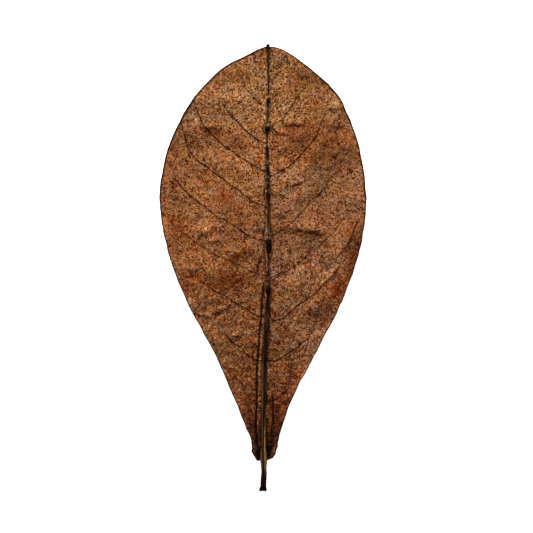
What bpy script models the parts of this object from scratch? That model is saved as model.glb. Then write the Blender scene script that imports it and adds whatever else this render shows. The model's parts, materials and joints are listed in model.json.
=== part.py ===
"""A dried Indian almond leaf, one grown piece: blade, midrib, side veins and petiole in one solid.

The leaf lies on z = 0 with its upper side up and its tip towards +Y. The origin is below the
middle of its box. The blade is a thin waved sheet whose rows leave the midrib and run out along
the side veins, so that every raised vein follows one row. Its upper and lower faces stand on the
same points and the same triangles, with the midrib's keel and the veins as relief between them.
"""

import bisect

import bpy
import numpy as np

MM = 0.001

# Thickness of the sheet and the relief that stands on it, in millimetres.
BLADE_THICKNESS = 0.8
VEIN_RIDGE_BELOW = 0.55
VEIN_RIDGE_ABOVE = 0.30
VEIN_HALF_WIDTH = 0.9
QUILT_HEIGHT = 0.9
KEEL_DEPTH_BASE = 1.2
KEEL_DEPTH_TIP = 0.35
KEEL_BASE_Y = -95.0
KEEL_TIP_Y = 95.0
RIB_CREST = 0.35
RIB_SHOULDER = 0.55
PETIOLE_GROOVE = 0.35

# Where the blade starts and the petiole ends along Y, in millimetres.
BLADE_BASE_Y = -93.0
PETIOLE_END_Y = -108.6

# The margin: X of the left and of the right edge at the heights Y, in millimetres.
LEFT_MARGIN = [
    (-93.0, -3.0), (-91.8, -4.3), (-89.6, -5.4), (-84.1, -5.9), (-77.8, -8.0), (-69.0, -11.4),
    (-57.4, -16.2), (-45.7, -21.1), (-31.2, -28.7), (-19.5, -35.1), (-2.0, -42.5), (9.6, -46.4),
    (23.2, -49.2), (35.8, -50.3), (47.5, -48.6), (59.1, -45.8), (67.9, -41.9), (76.6, -37.3),
    (85.3, -31.2), (94.1, -22.6), (98.7, -16.6), (102.8, -8.3), (105.6, -3.1), (107.7, 2.2),
]
RIGHT_MARGIN = [
    (-93.0, 3.4), (-92.0, 4.5), (-89.4, 5.8), (-83.1, 7.3), (-74.9, 10.0), (-66.1, 13.1),
    (-57.4, 16.9), (-48.6, 21.7), (-31.2, 30.7), (-21.7, 35.8), (-2.0, 43.6), (9.6, 47.2),
    (21.3, 49.4), (32.9, 50.3), (42.6, 49.7), (53.3, 47.9), (65.0, 45.0), (76.6, 40.2),
    (82.4, 37.4), (88.3, 32.5), (94.1, 26.2), (99.9, 18.8), (102.8, 15.0), (105.7, 10.0),
    (107.2, 5.9), (107.7, 2.6),
]

# The midrib: X of its middle and half of its width at the heights Y, in millimetres.
RIB_PATH = [
    (-108.6, 0.0), (-98.2, 0.4), (-64.2, 0.5), (-39.9, 1.1), (-10.8, 2.3), (11.1, 2.9),
    (42.6, 2.2), (67.9, 2.0), (91.2, 2.8), (108.6, 2.4),
]
RIB_HALF_WIDTH = [
    (-108.6, 1.65), (-105.5, 1.25), (-93.0, 1.3), (-60.0, 1.2), (0.0, 0.95), (60.0, 0.7),
    (104.0, 0.5), (108.6, 0.3),
]

# Side veins: where each leaves the midrib, the height on the margin it points to, how far it
# sags below the straight line to there, and the part of the way that it stands out.
LEFT_VEINS = [
    (-61.8, -45.2, 0.0, 0.70), (-44.9, -20.5, 0.0, 0.60), (-23.7, 4.3, 1.7, 0.70),
    (-4.0, 26.1, 3.2, 0.82), (12.0, 53.3, 6.3, 0.93), (29.4, 71.7, 7.3, 0.90),
    (46.5, 81.9, 6.8, 0.86), (60.2, 89.7, 4.4, 0.72), (78.4, 99.9, 4.4, 0.72),
    (91.5, 104.8, 1.5, 0.45),
]
RIGHT_VEINS = [
    (-75.8, -66.1, 0.0, 0.45), (-65.0, -52.0, 0.2, 0.50), (-44.9, -24.4, 2.9, 0.58),
    (-27.6, 7.7, 3.7, 0.70), (-4.0, 38.7, 5.8, 0.74), (15.5, 59.1, 3.4, 0.72),
    (29.4, 71.7, 5.8, 0.55), (44.1, 85.3, 8.7, 0.78), (68.5, 95.0, 4.4, 0.80),
    (91.5, 101.8, 1.5, 0.50),
]
# The rows at the two ends of the blade, in the same four values. The lowest sags into the lobes.
BASE_ROW = (BLADE_BASE_Y, -92.3, 0.9, 0.0)
TIP_ROW = (107.2, 107.3, 0.0, 0.0)

# How the leaf lies: height of the sheet along the midrib, and how far each margin stands above it
# in two parts, one growing straight outwards and one curving up towards the margin.
SPINE_HEIGHT = [
    (-108.6, 1.6), (-95.0, 1.6), (-75.0, 2.7), (-45.0, 5.0), (-10.0, 8.0), (25.0, 9.8),
    (60.0, 9.3), (85.0, 7.0), (108.6, 4.2),
]
LEFT_LIFT = [
    (-93.0, 0.6), (-75.0, 2.4), (-45.0, 4.4), (-15.0, 2.0), (15.0, -4.5), (42.0, -8.6),
    (68.0, -5.0), (88.0, -1.0), (107.0, 0.0),
]
RIGHT_LIFT = [
    (-93.0, 0.4), (-75.0, 1.8), (-50.0, 4.6), (-22.0, 4.0), (5.0, -1.8), (34.0, -8.6),
    (60.0, -6.6), (84.0, -2.6), (107.0, 0.0),
]
LIFT_STRAIGHT = 0.3
LIFT_CURVED = 0.7
# Waves of the margin: height, length along Y and start, for the left and the right half.
LEFT_WAVES = [(0.9, 37.0, 0.4), (0.5, 16.5, 2.1)]
RIGHT_WAVES = [(0.8, 44.0, 2.6), (0.6, 19.0, 0.9)]
# Broad folds of the dried sheet: middle X and Y, half length, half width, turn in degrees, height.
FOLDS = [
    (-20.0, -3.0, 20.0, 9.0, 35.0, 1.1), (24.0, 17.0, 15.0, 5.0, -8.0, 1.0),
    (30.0, 0.0, 16.0, 4.5, -25.0, -0.9), (21.0, 66.0, 15.0, 5.0, 4.0, 0.9),
    (-22.0, 62.0, 18.0, 8.0, 40.0, -0.8), (-14.0, -32.0, 12.0, 5.0, 55.0, -0.7),
]
# Knots on the midrib: height Y, half length and how far they stand up.
KNOTS = [(81.0, 1.6, 0.35), (67.4, 2.0, 0.7), (42.0, 1.8, 0.5), (11.3, 3.2, 1.1), (-6.0, 3.0, 0.4)]

# The two spots of the blade that lie on the table: X, Y. The petiole's underside is the third.
REST_SPOTS = [(-40.5, 41.0), (41.5, 35.0)]
REST_FLAT_RADIUS = 7.5
REST_BLEND_RADIUS = 26.0

# Grid of the sheet.
OUTER_COLUMNS = 11
ROW_SPACING = 5.2
PETIOLE_ROWS = [-94.6, -96.5, -99.0, -102.0, -105.5, -107.4, PETIOLE_END_Y]
TIP_POINT_ROWS = [107.9, 108.6]
CREASE_OFFSET = 1.9
MOST_RIB_SHARE = 0.35
PETIOLE_CUT_DEPTH = 0.5
SAME_STATION = 1e-6

# Dried brown blade, linear colour.
LEAF_COLOUR = (0.220, 0.080, 0.032, 1.0)
LEAF_ROUGHNESS = 0.7


def smooth_curve(points, at):
    """Value of the smooth curve through (position, value) points, which never overshoots them."""
    xs, ys = (np.array(column, float) for column in zip(*points))
    rise = np.diff(ys) / np.diff(xs)
    before, after = rise[:-1], rise[1:]
    same_way = before * after > 0.0
    inner = np.where(same_way, 2.0 * before * after / np.where(same_way, before + after, 1.0), 0.0)
    slopes = np.concatenate([rise[:1], inner, rise[-1:]])
    at = np.clip(np.asarray(at, float), xs[0], xs[-1])
    cell = np.clip(np.searchsorted(xs, at) - 1, 0, len(xs) - 2)
    span = xs[cell + 1] - xs[cell]
    t = (at - xs[cell]) / span
    return ((2 * t**3 - 3 * t**2 + 1) * ys[cell] + (t**3 - 2 * t**2 + t) * span * slopes[cell]
            + (3 * t**2 - 2 * t**3) * ys[cell + 1] + (t**3 - t**2) * span * slopes[cell + 1])


def smooth_step(t):
    """0 below t = 0, 1 above t = 1, with a soft rise between."""
    t = np.clip(t, 0.0, 1.0)
    return t * t * (3.0 - 2.0 * t)


def row_values(veins, station):
    """Landing height, sag and vein phase of the row that leaves the midrib at a station."""
    rows = [BASE_ROW] + veins + [TIP_ROW]
    starts = [row[0] for row in rows]
    landing = float(np.interp(station, starts, [row[1] for row in rows]))
    sag = float(np.interp(station, starts, [row[2] for row in rows]))
    cell = min(max(bisect.bisect_right(starts, station) - 1, 0), len(starts) - 2)
    phase = (station - starts[cell]) / (starts[cell + 1] - starts[cell])
    return landing, sag, phase


def row_stations():
    """Heights on the midrib where rows start: three for each vein, and enough between them."""
    crests = sorted({vein[0] for vein in LEFT_VEINS + RIGHT_VEINS})
    stations = {BASE_ROW[0], TIP_ROW[0]}
    for crest in crests:
        stations |= {crest - VEIN_HALF_WIDTH, crest, crest + VEIN_HALF_WIDTH}
    stations = sorted(stations)
    filled = []
    for low, high in zip(stations, stations[1:]):
        steps = max(1, int(np.ceil((high - low) / ROW_SPACING)))
        filled += [low + (high - low) * step / steps for step in range(steps)]
    return filled + [stations[-1]]


def row_plan(station, side):
    """X, Y and share of the way to the margin of one half row, from the midrib's middle outwards."""
    veins, margin = (LEFT_VEINS, LEFT_MARGIN) if side < 0 else (RIGHT_VEINS, RIGHT_MARGIN)
    landing, sag, phase = row_values(veins, station)
    start_x = float(smooth_curve(RIB_PATH, station))
    reach = float(smooth_curve(margin, landing)) - start_x
    half_width = float(smooth_curve(RIB_HALF_WIDTH, station))
    rib = min(half_width / abs(reach), MOST_RIB_SHARE)
    crease = min(rib + CREASE_OFFSET / abs(reach), 0.5 * (1.0 + rib))
    outer = crease + (1.0 - crease) * np.arange(1, OUTER_COLUMNS + 1) / OUTER_COLUMNS
    share = np.concatenate([[0.0, RIB_SHOULDER * rib, rib, crease], outer])
    x = start_x + reach * share
    y = station + (landing - station) * share - 4.0 * sag * share * (1.0 - share)
    return x, y, share, phase


def sheet_height(x, y, share, phase, side):
    """Height of the middle of the sheet: spine, margin lift, waves, quilting and folds added up."""
    lift_table, waves = (LEFT_LIFT, LEFT_WAVES) if side < 0 else (RIGHT_LIFT, RIGHT_WAVES)
    height = smooth_curve(SPINE_HEIGHT, y)
    height = height + smooth_curve(lift_table, y) * (LIFT_STRAIGHT * share + LIFT_CURVED * share**2)
    for size, length, start in waves:
        height = height + size * share**2 * np.sin(2.0 * np.pi * y / length + start)
    height = height + QUILT_HEIGHT * np.sin(np.pi * phase)**2 * np.sqrt(share * np.abs(1.0 - share))
    for fold_x, fold_y, long_half, wide_half, turn, size in FOLDS:
        cosine, sine = np.cos(np.radians(turn)), np.sin(np.radians(turn))
        along = (x - fold_x) * cosine + (y - fold_y) * sine
        across = (y - fold_y) * cosine - (x - fold_x) * sine
        height = height + size * np.exp(-(along / long_half)**2 - (across / wide_half)**2)
    return height


def rest_weight(x, y):
    """1 on the spots that lie on the table, fading to 0 around them."""
    weight = np.zeros_like(x)
    for spot_x, spot_y in REST_SPOTS:
        distance = np.hypot(x - spot_x, y - spot_y)
        fade = (distance - REST_FLAT_RADIUS) / (REST_BLEND_RADIUS - REST_FLAT_RADIUS)
        weight = np.maximum(weight, 1.0 - smooth_step(fade))
    return weight


def keel_depth(y):
    """How far the midrib stands below the sheet, from the tip down to the petiole."""
    down = smooth_step((KEEL_TIP_Y - y) / (KEEL_TIP_Y - KEEL_BASE_Y))
    return KEEL_DEPTH_TIP + (KEEL_DEPTH_BASE - KEEL_DEPTH_TIP) * down


def knot_height(y):
    """Bumps along the upper side of the midrib."""
    return sum(size * np.exp(-((y - knot_y) / half)**2) for knot_y, half, size in KNOTS)


def half_row(station, side):
    """X, Y, upper and lower height of one half row."""
    veins = LEFT_VEINS if side < 0 else RIGHT_VEINS
    x, y, share, phase = row_plan(station, side)
    weight = rest_weight(x, y)
    height = sheet_height(x, y, share, phase, side)
    height = height * (1.0 - weight) + 0.5 * BLADE_THICKNESS * weight
    above = np.zeros_like(x)
    below = np.zeros_like(x)
    for start, _, _, reach in veins:
        if abs(start - station) < SAME_STATION:
            fading = np.sqrt(1.0 - smooth_step(share / reach))
            above += VEIN_RIDGE_ABOVE * fading
            below += VEIN_RIDGE_BELOW * fading
    above[:3] = (RIB_CREST + knot_height(station)) * np.array([1.0, 0.8, 0.0])
    below[:3] = keel_depth(station) * np.array([1.0, 1.0, 0.0])
    relief = 1.0 - weight
    half = 0.5 * BLADE_THICKNESS
    return x, y, height + half + above * relief, height - half - below * relief


def stalk_half_row(y, side):
    """X, Y, upper and lower height of one half row of the petiole, or of the point past the tip."""
    share = np.array([0.0, RIB_SHOULDER, 1.0])
    x = smooth_curve(RIB_PATH, y) + side * smooth_curve(RIB_HALF_WIDTH, y) * share
    height = smooth_curve(SPINE_HEIGHT, y)
    half = 0.5 * BLADE_THICKNESS
    groove = PETIOLE_GROOVE if y < BLADE_BASE_Y else 0.0
    above = np.array([RIB_CREST - groove, RIB_CREST, 0.0])
    below = keel_depth(y) * np.array([1.0, 1.0, 0.0])
    cut = PETIOLE_CUT_DEPTH * (1.0 - share**2) if y == PETIOLE_END_Y else 0.0 * share
    return x, y + cut, height + half + above, height - half - below


def full_row(left, right):
    """One row from the left edge to the right one, with the midrib's middle only once."""
    return [np.concatenate([a[:0:-1], b]) for a, b in zip(left, right)]


def block_triangles(block):
    """Two triangles for each cell of a block of point numbers, split the same way on each half."""
    corners = (block[:-1, :-1], block[:-1, 1:], block[1:, 1:], block[1:, :-1])
    a, b, c, d = (corner.ravel() for corner in corners)
    left = np.arange(block.shape[1] - 1) < block.shape[1] // 2
    left = np.tile(left, block.shape[0] - 1)[:, None]
    first = np.where(left, np.stack([a, b, d], 1), np.stack([a, b, c], 1))
    second = np.where(left, np.stack([b, c, d], 1), np.stack([a, c, d], 1))
    return np.concatenate([first, second])


def sheet_points():
    """Every point of the leaf's plan with its upper and lower height, and the triangles on them."""
    rows = [full_row(half_row(s, -1), half_row(s, 1)) for s in row_stations()]
    stalk_rows = PETIOLE_ROWS[::-1] + TIP_POINT_ROWS
    stalks = [full_row(stalk_half_row(y, -1), stalk_half_row(y, 1)) for y in stalk_rows]
    columns = [np.concatenate(parts) for parts in zip(*(rows + stalks))]
    grid = np.arange(len(rows) * len(rows[0][0])).reshape(len(rows), -1)
    stalk = grid.size + np.arange(len(stalks) * len(stalks[0][0])).reshape(len(stalks), -1)
    middle = grid.shape[1] // 2
    inner = slice(middle - 2, middle + 3)
    petiole = np.vstack([stalk[:len(PETIOLE_ROWS)], grid[0, inner]])
    tip_point = np.vstack([grid[-1, inner], stalk[len(PETIOLE_ROWS):]])
    blocks = [petiole, grid, tip_point]
    return columns, np.concatenate([block_triangles(block) for block in blocks])


def boundary_edges(triangles):
    """The edges that only one triangle uses, in that triangle's direction."""
    edges = np.concatenate([triangles[:, [0, 1]], triangles[:, [1, 2]], triangles[:, [2, 0]]])
    known = {tuple(edge) for edge in edges.tolist()}
    return np.array([edge for edge in edges.tolist() if (edge[1], edge[0]) not in known])


def leaf_material():
    """Dried leaf, a matt brown with a slight shine."""
    material = bpy.data.materials.new("dried_leaf")
    material.use_nodes = True
    shader = material.node_tree.nodes["Principled BSDF"]
    shader.inputs["Base Color"].default_value = LEAF_COLOUR
    shader.inputs["Roughness"].default_value = LEAF_ROUGHNESS
    shader.inputs["Metallic"].default_value = 0.0
    material.diffuse_color = LEAF_COLOUR
    return material


def make_leaf():
    """The leaf as one closed body: upper face, lower face on the same triangles, and the rim."""
    (x, y, upper, lower), triangles = sheet_points()
    count = len(x)
    rim = boundary_edges(triangles)
    points = np.concatenate([np.stack([x, y, upper], 1), np.stack([x, y, lower], 1)]) * MM
    faces = triangles.tolist() + (triangles[:, ::-1] + count).tolist()
    faces += [(end, start, start + count) for start, end in rim.tolist()]
    faces += [(end, start + count, end + count) for start, end in rim.tolist()]
    mesh = bpy.data.meshes.new("leaf")
    mesh.from_pydata(points.tolist(), [], faces)
    mesh.update()
    mesh.shade_smooth()
    mesh.materials.append(leaf_material())
    leaf = bpy.data.objects.new("leaf", mesh)
    bpy.context.scene.collection.objects.link(leaf)
    return leaf


def clear_scene():
    """An empty scene to build in."""
    for old in list(bpy.data.objects):
        bpy.data.objects.remove(old, do_unlink=True)


clear_scene()
make_leaf()
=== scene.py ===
"""A dried Indian almond leaf, upper side up, on a pale floor under soft light from its tip's side.

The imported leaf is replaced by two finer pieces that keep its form: the blade, a thin waved sheet
with raised side veins, creases and a rolled margin, and the midrib with its petiole. Tables and
lengths are in millimetres in the leaf's own frame, and the meshes are in metres.
"""

import json
import math

import bpy
import numpy as np
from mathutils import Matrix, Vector

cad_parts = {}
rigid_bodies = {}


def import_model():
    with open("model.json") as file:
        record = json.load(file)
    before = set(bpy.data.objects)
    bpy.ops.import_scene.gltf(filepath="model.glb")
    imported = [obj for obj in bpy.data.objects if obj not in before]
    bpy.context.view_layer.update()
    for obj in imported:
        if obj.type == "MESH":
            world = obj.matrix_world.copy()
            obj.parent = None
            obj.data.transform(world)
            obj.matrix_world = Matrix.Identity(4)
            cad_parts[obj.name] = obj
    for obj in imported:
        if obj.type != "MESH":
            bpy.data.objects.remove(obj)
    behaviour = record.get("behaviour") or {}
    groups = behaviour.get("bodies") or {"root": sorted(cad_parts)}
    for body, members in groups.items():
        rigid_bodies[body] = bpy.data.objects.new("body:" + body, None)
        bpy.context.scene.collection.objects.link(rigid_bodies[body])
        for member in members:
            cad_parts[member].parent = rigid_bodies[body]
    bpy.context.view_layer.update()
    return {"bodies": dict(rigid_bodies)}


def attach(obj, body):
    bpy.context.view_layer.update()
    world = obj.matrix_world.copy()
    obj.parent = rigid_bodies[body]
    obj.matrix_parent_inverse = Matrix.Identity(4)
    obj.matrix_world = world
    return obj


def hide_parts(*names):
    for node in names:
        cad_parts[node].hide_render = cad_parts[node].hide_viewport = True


bl_info = {
    "name": "Dried Indian almond leaf",
    "version": (1, 0, 0),
    "blender": (4, 5, 0),
    "location": "3D View > Sidebar > Leaf",
    "description": "Makes a dried Indian almond leaf with its blade, midrib and petiole",
    "category": "Add Mesh",
}

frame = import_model()
MM = 0.001
LEAF_NODE = "leaf"
LEAF_BODY = next(iter(frame["bodies"]))

# The solid's own measures, which the finer pieces keep: half its sheet, its keel, how high the blade
# bulges between the veins, and where the blade starts.
SOLID_HALF_SHEET = 0.4
KEEL_DEPTH_BASE = 1.2
KEEL_DEPTH_TIP = 0.35
KEEL_BASE_Y = -95.0
KEEL_TIP_Y = 95.0
QUILT_HEIGHT = 0.9
BLADE_BASE_Y = -93.0
# The petiole's cut end, which is hollow and so a little longer at its rim, and the leaf's tip.
PETIOLE_END_Y = -108.85
TIP_X = 2.4
TIP_Y = 108.6

# The margin: X of the left and of the right edge at the heights Y.
LEFT_MARGIN = [
    (-93, -2.9), (-91.8, -4), (-89.6, -5), (-84.1, -5.5), (-77.8, -8), (-69, -11.4), (-57.4, -16.2),
    (-45.7, -21.1), (-31.2, -28.7), (-19.5, -35.1), (-2, -42.5), (9.6, -46.4), (23.2, -49.2),
    (35.8, -50.3), (47.5, -48.6), (59.1, -45.8), (67.9, -41.9), (76.6, -37.3), (85.3, -31.2),
    (94.1, -22.6), (98.7, -16.6), (102.8, -8.3), (105.6, -3.1), (107.7, 2.2),
]
RIGHT_MARGIN = [
    (-93, 3.9), (-92, 5.1), (-89.4, 6.3), (-83.1, 7.6), (-74.9, 10), (-66.1, 13.1), (-57.4, 16.9),
    (-48.6, 21.7), (-31.2, 30.7), (-21.7, 35.8), (-2, 43.6), (9.6, 47.2), (21.3, 49.4), (32.9, 50.3),
    (42.6, 49.7), (53.3, 47.9), (65, 45), (76.6, 40.2), (82.4, 37.4), (88.3, 32.5), (94.1, 26.2),
    (99.9, 18.8), (102.8, 15), (105.7, 10), (107.2, 5.9), (107.7, 2.6),
]
# The midrib's middle: X at the heights Y.
RIB_PATH = [
    (-108.6, 0), (-98.2, 0.4), (-64.2, 0.5), (-39.9, 1.1), (-10.8, 2.3), (11.1, 2.9), (42.6, 2.2),
    (67.9, 2), (91.2, 2.8), (108.6, 2.4),
]
# Side veins: where each leaves the midrib, the height on the margin that it points to, the part of
# the way there that it stands out, its darkness, and points X, Y on it.
LEFT_VEINS = [
    (-61.8, -45.2, 0.76, 0.6, [(-4.2, -61.4), (-7.4, -59.2), (-11.8, -54.3), (-14.5, -51.1)]),
    (-44.9, -20.5, 0.62, 1, [(-3.1, -44.6), (-7.4, -42.4), (-10.7, -38.6), (-14.5, -36.5),
     (-17.2, -33.2)]),
    (-23.7, 4.3, 0.72, 0.9, [(-0.9, -23.5), (-4.2, -22.7), (-7.4, -20.2), (-11.8, -17.8),
     (-17.7, -13.7), (-23.5, -11.1), (-28.1, -7.3)]),
    (-4.2, 26.1, 0.86, 0.8, [(-3, -2.7), (-6.4, -1.5), (-10.5, 0.8), (-16, 3.3), (-22.2, 6),
     (-27.3, 9.2), (-31.4, 11.5), (-38.7, 17.2)]),
    (12, 53.3, 1.02, 0.95, [(-0.9, 13.7), (-3.9, 14.2), (-11.4, 18.6), (-16.8, 22.1), (-25.6, 27.5),
     (-31.4, 31.9), (-37.3, 36.9), (-42.3, 43.2), (-44, 47.4)]),
    (29, 71.7, 1.12, 1, [(-5.1, 32.6), (-9.3, 35.3), (-17.2, 41.5), (-23.1, 45.5), (-28.1, 49.7),
     (-32.2, 52.6), (-35.6, 57), (-37.4, 62.3)]),
    (46.4, 81.9, 1.05, 1, [(-2.8, 48.6), (-9.7, 53), (-17.7, 58.2), (-21.7, 61.9), (-27.4, 67.3),
     (-30.4, 72.7)]),
    (60, 89.7, 0.78, 0.95, [(-3.6, 62.5), (-9.7, 67.7), (-14.5, 72.5), (-18.1, 77.8)]),
    (78.2, 99.9, 0.8, 0.6, [(-1.6, 79.6), (-4.2, 82.3), (-6.8, 85), (-8.4, 87.2), (-9.7, 90.9)]),
    (91.5, 104.8, 0.45, 0.15, []),
]
RIGHT_VEINS = [
    (-75.8, -66.1, 0.45, 0.3, []),
    (-65, -52, 0.55, 0.6, [(6.1, -64.1), (8.3, -61.9), (10.4, -60.8)]),
    (-45, -24.4, 0.62, 0.95, [(7.7, -44.3), (13.7, -40.5), (18.6, -37)]),
    (-27.8, 7.7, 0.72, 1, [(6.1, -25.4), (11, -23.5), (15.9, -18.9), (20.7, -15.4), (24.7, -13),
     (28.8, -8.6), (30.5, -6.5)]),
    (-4.8, 38.7, 0.84, 0.75, [(5, -4.2), (10, -2.1), (14.6, 0.2), (20.5, 4.8), (22.6, 7.6), (26.3, 9.8),
     (29.7, 13.1), (33, 15.4), (38, 22.3)]),
    (14.8, 59.1, 0.72, 0.8, [(6.7, 16.9), (13.4, 21.1), (15.5, 23.8), (20.1, 28.6), (23, 32.3),
     (26.8, 35.5), (29.7, 38.6), (33, 43.6)]),
    (29.4, 71.7, 0.55, 0.25, [(22.9, 44.8)]),
    (43.8, 85.3, 0.84, 1, [(7.5, 46.1), (13.4, 49.7), (18.9, 55.4), (24.2, 61.3), (25.9, 64),
     (27, 67)]),
    (67.8, 95, 0.84, 0.85, [(6.9, 70.1), (9.3, 71.9), (12.5, 76), (16.3, 81.6), (17.8, 84.2),
     (19.8, 86.8)]),
    (91.3, 101.8, 0.55, 0.55, [(6.2, 92.5), (9.3, 95.5)]),
]
LEFT_BASE_ROW = (BLADE_BASE_Y, -92.3, 0.0, 0.0, [(-1.1, -93.3), (-2.2, -93.8), (-3.2, -93.2)])
RIGHT_BASE_ROW = (BLADE_BASE_Y, -92.3, 0.0, 0.0, [(2.0, -93.3), (3.1, -93.1)])
TIP_ROW = (107.2, 107.3, 0.0, 0.0, [])
# How the leaf lies: height of the sheet along the midrib, and how far each margin stands above it.
SPINE_HEIGHT = [
    (-108.6, 1.6), (-95, 1.6), (-75, 2.7), (-45, 5), (-10, 8), (25, 9.8), (60, 9.3), (85, 7),
    (108.6, 4.2),
]
LEFT_LIFT = [
    (-93, 0.6), (-75, 2.4), (-45, 4.4), (-15, 2), (15, -4.5), (42, -8.6), (68, -5), (88, -1), (107, 0),
]
RIGHT_LIFT = [
    (-93, 0.4), (-75, 1.8), (-50, 4.6), (-22, 4), (5, -1.8), (34, -8.6), (60, -6.6), (84, -2.6),
    (107, 0),
]
# How much of the lift grows evenly towards the margin, and how much of it bends up at the end.
LIFT_STRAIGHT = 0.3
LIFT_CURVED = 0.7
# Waves of the margins: height, length and start.
LEFT_WAVES = [(0.9, 37.0, 0.4), (0.5, 16.5, 2.1)]
RIGHT_WAVES = [(0.8, 44.0, 2.6), (0.6, 19.0, 0.9)]
# Broad folds: X, Y, half length, half width, turn, height.
FOLDS = [
    (-20, -3, 20, 9, 35, 1.1), (24, 17, 15, 5, -8, 1), (30, 0, 16, 4.5, -25, -0.9),
    (21, 66, 15, 5, 4, 0.9), (-22, 62, 18, 8, 40, -0.8), (-14, -32, 12, 5, 55, -0.7),
]
# The spots of the blade that lie on the floor, how far they are flat, and where that has faded out.
REST_SPOTS = [(-40.5, 41.0), (41.5, 35.0)]
REST_FLAT_RADIUS = 7.5
REST_BLEND_RADIUS = 26.0

# The random crumples: height, length and seed, and the sharp crinkles between them.
CRUMPLES = [(0.16, 11.0, 41), (0.09, 4.5, 42), (0.035, 2.4, 43)]
CRINKLE_HEIGHT = 0.22
CRINKLE_LENGTH = 26.0
# Sharp wrinkles, in the same values as the folds.
WRINKLES = [
    (21.5, 18.9, 8.5, 1.1, -6, 1.15), (28, 3.4, 5, 1.1, -26, 0.85), (34, 77.8, 5.5, 1.2, -3, 0.65),
    (9.5, 65.4, 6, 0.9, 0, 0.5), (15.5, 69.9, 7, 1.2, -2, 0.75), (35.5, 69.4, 5.5, 1.1, -6, 0.8),
    (-27.3, 18.3, 5.5, 1, 35, 1.45), (-30, -22.3, 4.5, 0.9, -12, 1), (-19, -19.6, 8, 1, 24, 0.9),
    (-22.5, -26.5, 6, 1, 35, 0.75), (-36, 34.5, 5, 1.2, 12, 0.85), (-24.5, 68.4, 5.5, 1.1, -8, 0.85),
    (-14, 31, 1.6, 6, -8, -0.45), (38, 52, 5.5, 1.1, 28, 0.55), (33.5, -3, 6.5, 1, 52, 0.9),
    (20.5, -38, 5.5, 0.9, 62, 0.85), (-9.5, 8.5, 5, 1, 30, 0.7), (12, -52, 6, 0.9, 75, 0.5),
    (-8.5, -50, 6, 0.8, 80, 0.45), (6.5, 59, 4, 0.8, -50, 0.3), (-30.6, 16, 3, 0.7, -60, 0.75),
    (-23.5, 13.3, 3.4, 0.9, 20, 1.05), (-30.5, 26.8, 5.5, 1, 38, 0.9), (38.5, 33.4, 3.8, 0.9, -5, 0.7),
    (-34, -0.5, 4, 0.9, 5, 0.7), (-35, -7.5, 4.5, 0.9, 8, 0.75), (-25, -15.5, 5, 1, 20, 0.7),
    (-15.5, -34, 4.5, 0.9, 30, 0.75), (16.5, 41, 4, 0.9, 18, 0.55), (-44, 49, 4, 1, 15, 0.45),
]
# The two long creases beside the midrib's foot: points X, Y.
LEFT_FOOT_CREASE = [
    (0.3, -6), (0.3, -8.5), (0, -10.4), (0.4, -11.8), (-0.4, -15), (-0.3, -18), (-0.7, -21.5),
    (-0.7, -24.5), (-1.1, -27), (-1.4, -31), (-1.9, -35.4), (-2.1, -40.3), (-2.4, -45.3), (-2.8, -50),
    (-2.8, -62), (-3, -68), (-3.4, -76), (-2.8, -88),
]
RIGHT_FOOT_CREASE = [(4.3, -60), (5, -66), (5.1, -75), (4.5, -80), (4.4, -88)]
# Creases: points X, Y, then depth, and the darkness of the painted shade along them.
CREASES = [
    (LEFT_FOOT_CREASE, 0.6, 1),
    ([(3.1, -18), (3.2, -24), (3.4, -30.5), (4.1, -33)], 0.25, 0.55),
    (RIGHT_FOOT_CREASE, 0.45, 0.85),
    ([(3.4, -42), (3.6, -48), (4, -53), (4.3, -59)], 0.2, 0.3),
    ([(10.3, 15.9), (15.8, 17.3), (19, 17.6), (21.5, 16.9), (26, 16.1), (31.1, 15.5)], 0.15, 0.6),
    ([(26, 4.4), (28.6, 3), (30.9, 2.2)], 0.1, 0.6),
    ([(46.8, 24.8), (44.9, 19.5), (42.6, 13.6), (40.4, 9.6), (38.8, 6)], 0.12, 0.75),
    ([(38.6, 5.6), (37.2, 1), (35, -4), (33.6, -7.6)], 0.1, 0.5),
    ([(29.9, -13.2), (28.4, -18), (26.6, -23), (24.4, -29.5), (21.3, -36)], 0.15, 0.55),
    ([(3.2, 67.6), (5.6, 66.8), (7.2, 65.4), (8, 64)], 0.1, 0.95),
    ([(3.2, 64.2), (9, 64.3), (14.9, 64.2)], 0.05, 0.6),
    ([(8.9, 68.9), (12.4, 68.6), (16, 68.5), (21, 68.8)], 0.08, 0.45),
    ([(30.2, 76.7), (34, 76.5), (38.3, 76.9)], 0.06, 0.4),
    ([(31.4, 69), (35.5, 68.2), (41, 68.3)], 0.06, 0.5),
    ([(-3.1, -2.6), (-2.1, 1.5), (-0.9, 4.3), (-0.6, 6.8)], 0.1, 0.8),
    ([(-38.9, 16.9), (-37, 16.2), (-35.4, 15)], 0.06, 0.7),
    ([(-32.2, 18), (-30.4, 15.9), (-28.4, 15.2)], 0.08, 0.6),
    ([(14, 38.6), (15, 39.8), (17.4, 40.4)], 0.06, 0.7),
    ([(18.4, -8.8), (19, -10.2), (19.4, -12.4)], 0.05, 0.6),
    ([(-2.8, -66), (-1.6, -67.4), (-0.6, -68.6)], 0.05, 0.7),
    ([(1.6, -61), (2.1, -62.5), (2.2, -67)], 0.05, 0.8),
    ([(-33.6, 21), (-31, 23.4), (-28.4, 25.6)], 0.06, 0.4),
]
CREASE_HALF_WIDTH = 0.55
# Strips beside the midrib, paler than the blade: side, crease along the outer edge, strength along Y.
PALE_STRIPS = [
    (-1, LEFT_FOOT_CREASE, [(-92, 0), (-84, 0.35), (-74, 0.75), (-62, 0.95), (-50, 0.65), (-41, 0.3),
     (-30, 0.75), (-18, 1), (-9, 0.3)]),
    (1, RIGHT_FOOT_CREASE, [(-88, 0), (-76, 0.15), (-62, 0.28), (-54, 0.05), (-48, 0)]),
]
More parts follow.
